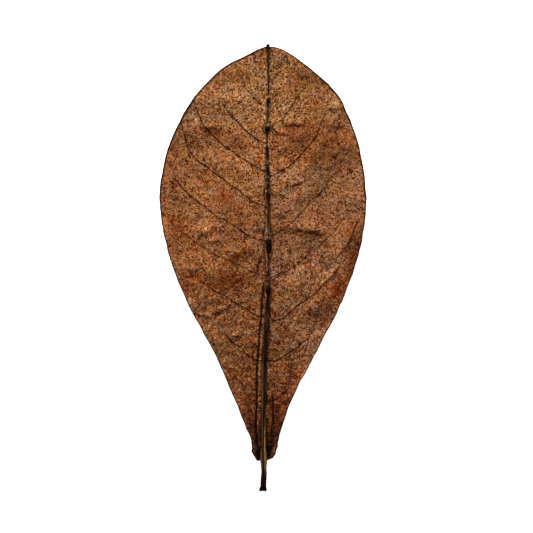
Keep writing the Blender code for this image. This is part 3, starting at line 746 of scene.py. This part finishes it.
def make_blade(settings):
    """The blade: an upper sheet on the plan's grid and a lower one on every second row and column of
    it, joined by a rounded rim."""
    plan = blade_plan()
    x, y = plan["x"], plan["y"]
    middle, weight = blade_height(plan)
    values = blade_values(plan)
    thickness = settings.blade_thickness / MM
    vein = values["vein_strength"]
    over_vein, under_vein = (size * vein * np.exp(-(values["vein_gap"] / half_width)**2)
                             for size, half_width in (UPPER_VEIN, LOWER_VEIN))
    bead = MARGIN_BEAD[0] * np.exp(-(values["edge_gap"] / MARGIN_BEAD[1])**2)
    below_crest = smooth_step(-(values["rib_gap"] + 0.2) / 0.4) * smooth_step((-40.0 - y) / 5.0)
    upper = middle - SOLID_HALF_SHEET + thickness + over_vein + bead + STRIP_HEIGHT * values["strip"]
    upper = upper - values["crease_depth"] - GROOVE_CLEARANCE * below_crest
    lower = middle - SOLID_HALF_SHEET - (1.0 - weight) * (under_vein + bead)
    lower = np.maximum(np.minimum(lower, lowest_near(upper) - LEAST_THICKNESS), 0.0)

    top = np.arange(x.size).reshape(x.shape)
    under = x.size + np.arange(x[::2, ::2].size).reshape(x[::2, ::2].shape)
    loop, under_loop = border(top), border(under)
    rim = x.size + under.size + np.arange(len(loop))
    ahead, next_rim = np.roll(loop, -1), np.roll(rim, -1)
    flat = np.stack([x, y], axis=2)
    edge = flat.reshape(-1, 2)[loop]
    tangent = np.roll(edge, -1, axis=0) - np.roll(edge, 1, axis=0)
    tangent = tangent / np.maximum(np.linalg.norm(tangent, axis=1, keepdims=True), 1e-9)
    outward = np.stack([tangent[:, 1], -tangent[:, 0]], axis=1)
    rim_z = 0.5 * (upper.ravel()[loop] + lower.ravel()[loop])
    points = np.concatenate([
        np.column_stack([x.ravel(), y.ravel(), upper.ravel()]),
        np.column_stack([part[::2, ::2].ravel() for part in (x, y, lower)]),
        np.column_stack([edge + RIM_BULGE * outward, rim_z]),
    ])
    upper_rim = np.stack([ahead, loop, rim, next_rim], axis=1)
    lower_rim = [under_loop, np.roll(under_loop, -1), np.roll(rim, -2)[::2], rim[1::2], rim[::2]]
    parts = [grid_faces(top), upper_rim, grid_faces(under)[:, ::-1], np.stack(lower_rim, axis=1)]
    on_lower = np.repeat([0, 0, 1, 1], [len(part) for part in parts]).astype(np.int32)
    faces = [face for part in parts for face in part.tolist()]
    materials = [upper_side(settings), lower_side(settings)]
    piece = new_piece("leaf_blade", points, faces, materials, on_lower)
    del values["crease_depth"]
    for name, value in values.items():
        on_top, below = (part.reshape(-1, *value.shape[2:]) for part in (value, value[::2, ::2]))
        values[name] = np.concatenate([on_top, below, on_top[loop]])
    set_values(piece, values)
    spread = [flat.reshape(-1, 2), flat[::2, ::2].reshape(-1, 2), edge + BAKE_RIM * outward]
    spread = np.concatenate(spread)
    corners = np.concatenate([part.ravel() for part in parts])
    corner_lower = np.repeat([0, 0, 1, 1], [part.size for part in parts])
    across, along = (spread[corners] * BAKE_SCALE).T
    layer = piece.data.uv_layers.new(name="OFBake")
    across = np.where(corner_lower, 0.75 - across, 0.25 + across)
    layer.uv.foreach_set("vector", np.column_stack([across, 0.5 + along]).ravel())
    return piece


def crest_knots(y):
    """Height of the knots on the crest: bells along Y that are steeper on the petiole's side."""
    height = np.zeros_like(y)
    for middle, half_length, size in KNOTS:
        apart = y - middle
        half = np.where(apart > 0.0, 1.3 * half_length, 0.7 * half_length)
        height = height + size * np.exp(-(apart / half)**2)
    return height


def make_midrib(settings):
    """The midrib and petiole: elliptical rings along the crest's path. Their upper half is raised by
    the knots and pressed in by the groove, and the petiole's cut end is hollow."""
    y = np.linspace(PETIOLE_END_Y, TIP_Y, RIB_RINGS)[:, None]
    turn = np.linspace(0.0, 2.0 * np.pi, RIB_SIDES, endpoint=False)[None, :]
    cosine, sine = np.cos(turn), np.sin(turn)
    uneven = 0.13 * ripple(y, 2.0 * cosine, 2.8, 51) + 0.10 * ripple(y, 2.0 * cosine, 1.2, 52)
    uneven = uneven * (0.25 + 0.75 * smooth_step((y + 93.0) / 20.0))
    height = settings.blade_thickness / MM + smooth_curve(CREST_HEIGHT, y) + crest_knots(y)
    sunk = (settings.blade_thickness / MM / height)**1.25
    buried = 1.0 + smooth_step((y - BLADE_BASE_Y) / 3.0) * (1.0 / np.sqrt(1.0 - sunk**2) - 1.0)
    half_width = smooth_curve(CREST_HALF_WIDTH, y) * (1.0 + uneven) * np.clip(buried, 1.0, 1.5)
    centre = smooth_curve(CREST_PATH, y) + 0.06 * ripple(y, 0.0 * y, 3.4, 53)
    sheet = smooth_curve(SPINE_HEIGHT, y) - SOLID_HALF_SHEET
    x = centre + half_width * cosine
    groove = np.exp(-((x - smooth_curve(GROOVE_PATH, y)) / GROOVE_HALF_WIDTH)**2)
    fibres = 0.035 * ripple(x, 0.12 * y, 0.45, 54) + 0.05 * ripple(x, y, 1.6, 55)
    above = np.clip(sine, 0.0, 1.0)**0.8
    up = height * above + (fibres - smooth_curve(GROOVE_DEPTH, y) * groove) * smooth_step(2.0 * above)
    z = sheet + np.where(sine > 0.0, up, keel_depth(y) * sine)
    cut = smooth_step((PETIOLE_END_Y + 1.6 - y) / 1.6)
    ring_y = y + 0.25 * cut * (1.0 - cosine**2) + 0.12 * cut * ripple(x, z, 0.8, 56)
    points = np.stack([x, ring_y, z], axis=2)

    first, last = points[0].mean(axis=0), points[-1].mean(axis=0)
    hollow = [first + share * (points[0] - first) + np.array([0.0, push, 0.0])
              for share, push in ((0.35, 0.55), (0.70, 0.35), (0.90, 0.05))]
    rings = np.concatenate([np.stack(hollow), points])
    ring_count = len(rings)
    numbers = np.arange(ring_count * RIB_SIDES).reshape(ring_count, RIB_SIDES)
    numbers = np.concatenate([numbers, numbers[:, :1]], axis=1)
    pole = ring_count * RIB_SIDES
    start = np.column_stack([numbers[0, :-1], numbers[0, 1:], np.full(RIB_SIDES, pole)])
    stop = np.column_stack([numbers[-1, 1:], numbers[-1, :-1], np.full(RIB_SIDES, pole + 1)])
    faces = grid_faces(numbers)[:, ::-1].tolist() + start.tolist() + stop.tolist()
    poles = np.array([first + [0.0, 0.60, 0.0], last])
    points = np.concatenate([rings.reshape(-1, 3), poles])
    piece = new_piece("leaf_midrib", points, faces, [bark(settings)])

    on_top = smooth_step(above / 0.5)
    from_groove = x - smooth_curve(GROOVE_PATH, y)
    # Painted highlights on the crest's upper half.
    painted_highlight = np.zeros_like(y)
    for middle, half_length, strength in CREST_HIGHLIGHTS:
        painted_highlight = painted_highlight + strength * np.exp(-((y - middle) / half_length)**2)
    left = smooth_curve(LEFT_STRAND, y) * smooth_step(-(from_groove + 0.15) / 0.25)
    strand_edge = 0.75 + 0.7 * smooth_step((-86.0 - y) / 6.0)
    right = smooth_curve(RIGHT_STRAND, y) * smooth_step((from_groove - 0.15) / 0.25)
    right = right * (1.0 - smooth_step((from_groove - strand_edge) / 0.4))
    shown = {
        "painted_highlight": painted_highlight * on_top, "left_strand": left * on_top, "right_strand": right * on_top,
        "black": np.broadcast_to(smooth_curve(BLACK_BARK_AND_SHADE, y), x.shape),
        # How strongly painted shade darkens the groove.
        "groove": smooth_curve(GROOVE_DEPTH, y) / 0.5 * groove * on_top,
        "under": np.broadcast_to(smooth_step(-sine / 0.35), x.shape),
    }
    for name, value in shown.items():
        inside_cut = np.repeat(value[:1], 3, axis=0).ravel()
        shown[name] = np.concatenate([inside_cut, value.ravel(), value[0, :1], value[-1, :1]])
    set_values(piece, shown)
    return piece


# Kinds of node and their settings that the materials use often.
MATH, VECTOR_MATH, MAP_RANGE = "ShaderNodeMath", "ShaderNodeVectorMath", "ShaderNodeMapRange"
NOISE, ATTRIBUTE, BUMP = "ShaderNodeTexNoise", "ShaderNodeAttribute", "ShaderNodeBump"
PRODUCT, SUM = {"operation": "MULTIPLY"}, {"operation": "ADD"}
SOFT_STEP, SLICED = {"interpolation_type": "SMOOTHSTEP"}, {"noise_dimensions": "4D"}


def fill(tree, node, inputs):
    """Sets each named socket of a node to its value, or links it to the output given for it."""
    for name, value in inputs.items():
        socket = node.inputs[name]
        if isinstance(value, bpy.types.NodeSocket):
            tree.links.new(value, socket)
        else:
            socket.default_value = value


def add(tree, kind, settings=None, inputs=None, out=0):
    """Adds one node, sets its properties and its sockets to values or links, and returns an output."""
    node = tree.nodes.new(kind)
    for name, value in (settings or {}).items():
        setattr(node, name, value)
    fill(tree, node, inputs or {})
    return node.outputs[out]


def new_material(name):
    """An empty material with its Principled shader, and its node tree."""
    material = bpy.data.materials.new(name)
    material.use_nodes = True
    return material, material.node_tree, material.node_tree.nodes["Principled BSDF"]


def millimetres(tree, stretch=(1.0, 1.0, 1.0), bends=()):
    """The piece's own coordinates in millimetres, stretched, then moved about by soft noises: each
    bend is a noise's size and how far it moves the point."""
    place = add(tree, "ShaderNodeTexCoord", out=3)
    scale = [part / MM for part in stretch]
    point = add(tree, VECTOR_MATH, PRODUCT, {0: place, 1: scale})
    for size, distance in bends:
        inputs = {"Vector": point, "Scale": 1.0 / size, "Detail": 2.0}
        noise = add(tree, NOISE, None, inputs, out=1)
        shift = add(tree, VECTOR_MATH, {"operation": "SCALE"}, {0: noise, "Scale": distance})
        point = add(tree, VECTOR_MATH, SUM, {0: point, 1: shift})
    return point


def point_values(tree, names):
    """What the mesh carries for each of its points, by name."""
    return {name: add(tree, ATTRIBUTE, {"attribute_name": name}, out=2) for name in names}


def noise_masks(tree, point, rows):
    """A mask from 0 to 1 for each row: name, size in millimetres, detail, and the values of the noise
    at which the mask is 0 and 1. Each row reads its own slice of the noise."""
    masks = {}
    for name, size, detail, low, high in rows:
        inputs = {"Vector": point, "W": 7.3 * len(masks), "Scale": 1.0 / size, "Detail": detail}
        inputs["Roughness"] = 0.6
        noise = add(tree, NOISE, SLICED, inputs)
        inputs = {"Value": noise, "From Min": low, "From Max": high}
        masks[name] = add(tree, MAP_RANGE, SOFT_STEP, inputs)
    return masks


def cell_masks(tree, point, rows):
    """A mask from 0 to 1 for each row: name, cell size in millimetres, Voronoi feature, how much the
    distance differs from cell to cell, and the distances, in cells, at which the mask is 0 and 1."""
    masks = {}
    for name, size, feature, vary, zero, one in rows:
        inputs = {"Vector": point, "Scale": 1.0 / size}
        distance = add(tree, "ShaderNodeTexVoronoi", {"feature": feature}, inputs)
        if vary:
            cell_colour = distance.node.outputs[1]
            shift = add(tree, MATH, PRODUCT, {0: cell_colour, 1: vary})
            distance = add(tree, MATH, SUM, {0: distance, 1: shift})
        inputs = {"Value": distance, "From Min": zero, "From Max": one}
        masks[name] = add(tree, MAP_RANGE, SOFT_STEP, inputs)
    return masks


def line_mask(tree, gap, strength, near, far, narrowing=1.0):
    """A line that is full within near millimetres of where gap is 0 and gone at far on either side.
    Where the narrowing is more than 1 the line is that much thinner."""
    gap = add(tree, MATH, {"operation": "ABSOLUTE"}, {0: gap})
    gap = add(tree, MATH, PRODUCT, {0: gap, 1: narrowing})
    inputs = {"Value": gap, "From Min": far, "From Max": near}
    line = add(tree, MAP_RANGE, SOFT_STEP, inputs)
    return add(tree, MATH, PRODUCT, {0: line, 1: strength})


def winding_line(tree, point, size, seed, near, far):
    """Thin curling lines: where a soft noise of this size passes through its middle value."""
    inputs = {"Vector": point, "W": seed, "Scale": 1.0 / size, "Detail": 1.0}
    noise = add(tree, NOISE, SLICED, inputs)
    gap = add(tree, MATH, {"operation": "SUBTRACT"}, {0: noise, 1: 0.5})
    return line_mask(tree, gap, 1.0, near, far)


def layered(tree, colour, layers, blend="MIX"):
    """Colours laid over each other: each layer is a mask, how much of it shows, and its colour. With
    the MULTIPLY blend a layer tints what lies below it and keeps its pattern."""
    for mask, share, tint in layers:
        factor = add(tree, MATH, PRODUCT | {"use_clamp": True}, {0: mask, 1: share})
        settings = {"data_type": "RGBA", "blend_type": blend}
        colour = add(tree, "ShaderNodeMix", settings, {0: factor, 6: colour, 7: tint}, out=2)
    return colour


def summed(tree, start, terms):
    """A number plus each term, a mask from 0 to 1 that swings it by its size up and down."""
    for mask, size in terms:
        inputs = {"Value": mask, "To Min": -size, "To Max": size}
        swing = add(tree, MAP_RANGE, None, inputs)
        start = add(tree, MATH, SUM, {0: start, 1: swing})
    return start


def upper_side(settings):
    """Dried leaf skin, upper side: leathery and matt. It gives the eye tan and brown curls and grain,
    pits in the finest net of veins, black specks of mould, rust stains, dark veins and margin, and pale
    flecks that are partly painted glints. Its mauve stains are partly painted sheen, its pale and dark
    stains partly painted highlights and shade on wrinkles, and it has painted shade along the creases, in
    fine cross wrinkles and beside the midrib."""
    material, tree, shader = new_material("dried_leaf_skin")
    point = millimetres(tree, bends=((3.3, 1.4), (0.9, 0.5)))
    along = millimetres(tree, stretch=(1.0, 0.13, 1.0), bends=((2.0, 0.5),))
    across = millimetres(tree, stretch=(0.35, 1.0, 1.0), bends=((1.5, 0.5),))
    values = point_values(tree, BLADE_VALUES)
    shade = add(tree, ATTRIBUTE, {"attribute_name": "shade"}, out=1)
    noise = noise_masks(tree, point, (
        ("patch", 6.5, 5.0, 0.36, 0.64), ("rust", 20.0, 4.0, 0.50, 0.72),
        ("mauve", 15.0, 4.0, 0.50, 0.72), ("mottle", 2.2, 3.0, 0.30, 0.70),
        ("grain", 0.72, 4.0, 0.28, 0.72), ("broken", 2.4, 3.0, 0.36, 0.58),
        ("blot", 1.9, 3.0, 0.47, 0.62), ("ochre", 3.8, 5.0, 0.36, 0.64),
        ("red", 5.0, 5.0, 0.38, 0.64), ("yellow", 0.9, 3.0, 0.34, 0.66)))
    curls = [winding_line(tree, point, 1.5, seed, 0.02, 0.055) for seed in (71.0, 83.0)]
    streak = noise_masks(tree, along, (("streak", 0.95, 3.0, 0.44, 0.55),))["streak"]
    rung = noise_masks(tree, across, (("rung", 0.85, 2.0, 0.50, 0.64),))["rung"]
    cell = cell_masks(tree, point, (
        ("pit", 1.15, "F1", 0.12, 0.50, 0.22), ("speck", 1.5, "F1", 0.26, 0.46, 0.28),
        ("fleck_and_glint", 1.5, "F1", 0.30, 0.44, 0.22), ("net", 4.4, "DISTANCE_TO_EDGE", 0.0, 0.075, 0.01),
        ("areole", 1.3, "DISTANCE_TO_EDGE", 0.0, 0.22, 0.02)))

    level = summed(tree, 0.5, (
        (noise["grain"], 0.56), (noise["mottle"], 0.19), (noise["patch"], 0.11), (cell["areole"], 0.15),
        (cell["pit"], -0.22)))
    steps = [add(tree, MAP_RANGE, SOFT_STEP, {"Value": level, "From Min": pale, "From Max": dark})
             for pale, dark in ((0.84, 0.42), (0.42, 0.08))]
    colour = layered(tree, settings.blade_tan, (
        (curls[0], 0.55, linear("d9ad80")), (steps[0], 1.0, settings.blade_brown),
        (steps[1], 0.95, linear("33130a")), (curls[0], 0.32, linear("d8a67e")),
        (curls[1], 0.50, linear("3c1a0c"))))
    # The tints are shares of red, green and blue, and a share above 1 makes the skin paler.
    colour = layered(tree, colour, (
        (noise["ochre"], 1.0, (1.06, 0.96, 0.60, 1.0)), (noise["red"], 1.0, (1.02, 0.80, 0.72, 1.0)),
        (noise["yellow"], 1.0, (1.0, 0.98, 0.76, 1.0)), (noise["rust"], 0.6, (1.0, 0.80, 0.60, 1.0)),
        # Mauve patches and stains, partly painted sheen of the waxy skin.
        (noise["mauve"], 0.35, (0.95, 0.97, 1.20, 1.0)),
        (values["mauve_stain_and_sheen"], 1.0, (0.95, 0.98, 1.25, 1.0)),
        (values["rust_stain"], 1.0, (0.70, 0.45, 0.30, 1.0)),
        # Pale stains, partly painted highlights on wrinkles; the strips beside the midrib; dark stains,
        # partly painted shade on wrinkles.
        (values["pale_stain_and_highlight"], 1.0, (1.45, 1.50, 1.50, 1.0)),
        (values["strip"], 1.0, (2.3, 2.5, 2.8, 1.0)),
        (values["dark_stain_and_shade"], 1.0, (0.36, 0.27, 0.24, 1.0))), blend="MULTIPLY")
    colour = add(tree, VECTOR_MATH, PRODUCT, {0: colour, 1: shade})

    often = add(tree, MAP_RANGE, None, {"Value": values["inner"], "To Min": 0.4, "To Max": 1.0})
    flecks_and_glints, streaks, cross_wrinkle_shade, nets, blots, specks = (
        add(tree, MATH, PRODUCT, {0: mask, 1: where}) for mask, where in (
            (cell["fleck_and_glint"], noise["grain"]), (streak, values["streaked"]), (rung, values["strip"]),
            (cell["net"], values["netted"]), (noise["blot"], values["netted"]), (cell["speck"], often)))
    ragged = add(tree, MAP_RANGE, None, {"Value": noise["broken"], "To Min": 1.9, "To Max": 0.75})
    frayed = add(tree, MAP_RANGE, None, {"Value": noise["grain"], "To Min": 1.2, "To Max": 0.75})
    wander = add(tree, MAP_RANGE, None, {"Value": noise["mottle"], "To Min": -0.25, "To Max": 0.25})
    # Painted shade beside the raised midrib, partly a dark stain.
    rib_shade_and_stain = line_mask(tree, values["rib_gap"], 0.9, 0.20, 1.25, ragged)
    vein = line_mask(tree, values["vein_gap"], values["vein_strength"], 0.17, 0.54, ragged)
    # Painted shade along the creases, wavering in width.
    crease = add(tree, MATH, SUM, {0: values["crease_gap"], 1: wander})
    crease = line_mask(tree, crease, values["crease_shade"], 0.28, 0.74, frayed)
    edge = line_mask(tree, values["edge_gap"], 1.0, 0.40, 1.0)
    colour = layered(tree, colour, (
        # Pale flecks, partly the skin's own and partly painted glints on its high grain, then dark blots.
        (flecks_and_glints, 0.65, linear("dab27a")), (blots, 0.5, linear("4d1e0b")),
        # Dark fibre streaks at the midrib's foot, then painted shade in fine cross wrinkles on the pale
        # strips.
        (streaks, 0.85, linear("160b07")), (cross_wrinkle_shade, 0.6, linear("4a2412")),
        (nets, 0.72, linear("2c150a")), (specks, 1.0, linear("1c0c06")),
        (rib_shade_and_stain, 0.80, linear("1d0f08")), (values["black_stain"], 1.0, linear("0d0a09")),
        (edge, 0.9, linear("1a0c06")), (crease, 0.95, linear("150a06")),
        (vein, 0.95, settings.vein_colour)))
    rough = summed(tree, 0.64, ((noise["grain"], 0.10),))
    height = summed(tree, 0.5, (
        (noise["grain"], 0.25), (cell["areole"], 0.25), (cell["pit"], -0.35), (noise["mottle"], 0.3)))
    relief = add(tree, BUMP, None, {"Strength": 0.9, "Distance": 0.0002, "Height": height})
    # Nearly no gloss, because even a weak one turns the skin grey when it is seen flat.
    fill(tree, shader, {
        "Base Color": colour, "Roughness": rough, "Specular IOR Level": 0.005, "Normal": relief})
    return material


def lower_side(settings):
    """Dried leaf skin, lower side: it gives the eye a paler and duller brown than the upper one, with
    a raised net of veins and a few specks."""
    material, tree, shader = new_material("dried_leaf_skin_below")
    point = millimetres(tree, bends=((3.3, 1.4),))
    values = point_values(tree, ("vein_gap", "vein_strength", "edge_gap", "dark_stain_and_shade", "rust_stain"))
    shade = add(tree, ATTRIBUTE, {"attribute_name": "shade"}, out=1)
    noise = noise_masks(tree, point, (
        ("patch", 8.0, 5.0, 0.38, 0.62), ("grain", 0.9, 3.0, 0.36, 0.64),
        ("mottle", 3.0, 3.0, 0.35, 0.65)))
    cell = cell_masks(tree, point, (
        ("net", 3.4, "DISTANCE_TO_EDGE", 0.0, 0.10, 0.02),
        ("areole", 1.2, "DISTANCE_TO_EDGE", 0.0, 0.16, 0.02), ("speck", 3.1, "F1", 0.2, 0.34, 0.20)))
    colour = layered(tree, settings.underside, (
        (noise["patch"], 0.5, linear("8a6040")), (values["rust_stain"], 0.4, linear("80502e")),
        (cell["areole"], 0.35, linear("b08a64"))))
    tone = summed(tree, 1.0, ((noise["grain"], 0.25), (noise["mottle"], 0.15)))
    colour = add(tree, VECTOR_MATH, {"operation": "SCALE"}, {0: colour, "Scale": tone})
    colour = add(tree, VECTOR_MATH, PRODUCT, {0: colour, 1: shade})
    vein = line_mask(tree, values["vein_gap"], values["vein_strength"], 0.30, 0.75)
    edge = line_mask(tree, values["edge_gap"], 1.0, 0.15, 0.75)
    colour = layered(tree, colour, (
        # Dark stains, partly the upper side's painted shade, showing faintly below as well.
        (values["dark_stain_and_shade"], 0.4, linear("53341f")), (cell["net"], 0.45, linear("74502f")),
        (cell["speck"], 0.6, linear("35200f")), (edge, 0.7, linear("352012")),
        (vein, 0.75, linear("6b4526"))))
    height = summed(tree, 0.5, ((cell["net"], 0.45), (cell["areole"], 0.25), (noise["grain"], 0.15)))
    relief = add(tree, BUMP, None, {"Strength": 0.8, "Distance": 0.00015, "Height": height})
    fill(tree, shader, {
        "Base Color": colour, "Roughness": 0.8, "Specular IOR Level": 0.25, "Normal": relief})
    return material


def bark(settings):
    """Dried midrib and petiole: it gives the eye a matt black-brown fibrous bark with pale painted
    highlights on its high spots, black painted shade on its knots and in its groove, brown and ochre
    strands beside the groove and a browner keel."""
    material, tree, shader = new_material("dried_midrib_bark")
    point = millimetres(tree, stretch=(1.0, 0.13, 1.0), bends=((3.3, 0.25),))
    values = point_values(tree, ("painted_highlight", "left_strand", "right_strand", "black", "groove", "under"))
    noise = noise_masks(tree, point, (
        ("fibre", 0.45, 4.0, 0.38, 0.62), ("band", 1.6, 3.0, 0.40, 0.62),
        ("flake", 0.5, 3.0, 0.46, 0.58)))
    colour = layered(tree, settings.midrib_bark, (
        # Dark bands, then near-black that is the bark's own and at the knots painted shade.
        (noise["band"], 0.6, linear("4a2d18")), (values["black"], 0.9, linear("100a07")),
        (values["left_strand"], 0.85, linear("7c5f42")),
        (values["right_strand"], 0.95, settings.petiole_ochre), (values["under"], 0.8, linear("80573a"))))
    # Pale grey painted highlights, broken up into flakes.
    painted_highlight = add(tree, MATH, PRODUCT, {0: values["painted_highlight"], 1: noise["flake"]})
    tone = summed(tree, 0.95, ((noise["fibre"], 0.40), (noise["band"], 0.15)))
    colour = add(tree, VECTOR_MATH, {"operation": "SCALE"}, {0: colour, "Scale": tone})
    # Pale painted highlights, then near-black painted shade in the groove.
    colour = layered(tree, colour, (
        (painted_highlight, 0.9, linear("9a7d60")), (values["groove"], 0.95, linear("0d0b0a"))))
    rough = summed(tree, 0.55, ((noise["fibre"], 0.12),))
    height = summed(tree, 0.5, ((noise["fibre"], 0.35), (noise["band"], 0.2)))
    relief = add(tree, BUMP, None, {"Strength": 0.7, "Distance": 0.0001, "Height": height})
    fill(tree, shader, {
        "Base Color": colour, "Roughness": rough, "Specular IOR Level": 0.005, "Normal": relief})
    return material


def settle(piece):
    """Rides the piece on the leaf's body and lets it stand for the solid."""
    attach(piece, LEAF_BODY)
    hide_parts(LEAF_NODE)


def make_stage():
    """A white table that is lit through, a soft lamp on the tip's side, and the camera above."""
    scene = bpy.context.scene
    corners = FLOOR_HALF * np.array([[-1, -1, 0], [1, -1, 0], [1, 1, 0], [-1, 1, 0]])
    # White acrylic, lit through from below: it gives the eye an even white without shadows.
    material, tree, shader = new_material("white_acrylic")
    fill(tree, shader, {"Base Color": linear("f4f4f4"), "Roughness": 0.9,
                        "Emission Color": linear("ffffff"), "Emission Strength": TABLE_GLOW})
    new_piece("floor", corners, [[0, 1, 2, 3]], [material])

    world = bpy.data.worlds.new("soft_white")
    scene.world = world
    world.use_nodes = True
    tree = world.node_tree
    direction = add(tree, "ShaderNodeTexCoord")
    upward = add(tree, "ShaderNodeSeparateXYZ", None, {0: direction}, out=2)
    # The walls are bright and the ceiling is dark, so that the leaf seen from above keeps its depth.
    inputs = {"Value": upward, "From Min": 0.15, "From Max": 0.50}
    inputs |= {"To Min": WALL_LIGHT, "To Max": CEILING_LIGHT}
    strength = add(tree, MAP_RANGE, None, inputs)
    fill(tree, tree.nodes["Background"], {"Color": linear("ffffff"), "Strength": strength})

    lamp_data = bpy.data.lights.new("key_light", "AREA")
    lamp_data.shape = "DISK"
    lamp_data.size = LAMP_WIDTH
    lamp_data.energy = LAMP_POWER
    lamp = bpy.data.objects.new("key_light", lamp_data)
    lamp.location = LAMP_PLACE
    lamp.rotation_mode = "QUATERNION"
    lamp.rotation_quaternion = (-Vector(LAMP_PLACE)).to_track_quat("-Z", "Y")
    scene.collection.objects.link(lamp)

    camera_data = bpy.data.cameras.new("camera")
    camera_data.lens = LENS_LENGTH
    camera_data.sensor_width = SENSOR_WIDTH
    camera_data.clip_start = 0.01
    camera_data.clip_end = 20.0
    camera = bpy.data.objects.new("camera", camera_data)
    distance = PHOTO_WIDTH * PHOTO_PIXEL * LENS_LENGTH / SENSOR_WIDTH
    camera.location = Vector((*PHOTO_CENTRE, distance + PHOTO_HEIGHT)) * MM
    scene.collection.objects.link(camera)
    scene.camera = camera
    scene.view_settings.view_transform = "Standard"
    scene.view_settings.look = "None"


def linear(hex_colour):
    """A linear colour with alpha from an sRGB hex value such as "8a5a36"."""
    parts = [int(hex_colour[i:i + 2], 16) / 255.0 for i in (0, 2, 4)]
    return [part / 12.92 if part <= 0.04045 else ((part + 0.055) / 1.055)**2.4 for part in parts] + [1.0]


def colour_setting(name, description, hex_colour):
    """A colour that a user can change in the panel."""
    return bpy.props.FloatVectorProperty(
        name=name, description=description, subtype="COLOR", size=4, min=0.0, max=1.0,
        default=linear(hex_colour))


class LeafSettings(bpy.types.PropertyGroup):
    """Sizes and colours of the leaf that a user would change."""

    blade_thickness: bpy.props.FloatProperty(
        name="Blade thickness", description="Thickness of the dried blade", default=0.0004,
        min=0.0002, max=0.0008, unit="LENGTH")
    blade_tan: colour_setting("Tan", "Paler colour of the blade's upper side", "b38962")
    blade_brown: colour_setting("Brown", "Darker colour of the blade's upper side", "6b3213")
    underside: colour_setting("Underside", "Colour of the blade's lower side", "8f6842")
    vein_colour: colour_setting("Veins", "Colour of the side veins seen from above", "1a0a04")
    midrib_bark: colour_setting("Midrib", "Colour of the midrib's bark", "22150c")
    petiole_ochre: colour_setting("Petiole", "Colour of the ochre strand on the petiole", "9a7440")


class LEAF_OT_blade(bpy.types.Operator):
    """Makes the blade with its veins, creases and rolled margin"""

    bl_idname = "leaf.make_blade"
    bl_label = "Leaf blade"

    def execute(self, context):
        settle(make_blade(context.scene.leaf_settings))
        return {"FINISHED"}


class LEAF_OT_midrib(bpy.types.Operator):
    """Makes the midrib with its knots and the petiole"""

    bl_idname = "leaf.make_midrib"
    bl_label = "Midrib and petiole"

    def execute(self, context):
        settle(make_midrib(context.scene.leaf_settings))
        return {"FINISHED"}


class LEAF_OT_stage(bpy.types.Operator):
    """Makes the white table, the soft light and the camera that looks straight down"""

    bl_idname = "leaf.make_stage"
    bl_label = "Stage"

    def execute(self, context):
        make_stage()
        return {"FINISHED"}


class LEAF_PT_panel(bpy.types.Panel):
    """Lists the leaf's pieces, sizes and colours"""

    bl_label = "Indian almond leaf"
    bl_idname = "LEAF_PT_panel"
    bl_space_type = "VIEW_3D"
    bl_region_type = "UI"
    bl_category = "Leaf"

    def draw(self, context):
        for name in LeafSettings.__annotations__:
            self.layout.prop(context.scene.leaf_settings, name)
        for operator in (LEAF_OT_blade, LEAF_OT_midrib, LEAF_OT_stage):
            self.layout.operator(operator.bl_idname)


CLASSES = (LeafSettings, LEAF_OT_blade, LEAF_OT_midrib, LEAF_OT_stage, LEAF_PT_panel)


def register():
    """Registers the classes and puts the settings on the scene."""
    for new_class in CLASSES:
        bpy.utils.register_class(new_class)
    bpy.types.Scene.leaf_settings = bpy.props.PointerProperty(type=LeafSettings)


def unregister():
    """Takes the settings and the classes away again."""
    del bpy.types.Scene.leaf_settings
    for old_class in reversed(CLASSES):
        bpy.utils.unregister_class(old_class)


def main():
    """Makes the leaf and its stage."""
    register()
    bpy.ops.leaf.make_stage()
    bpy.ops.leaf.make_blade()
    bpy.ops.leaf.make_midrib()


if __name__ == "__main__":
    main()
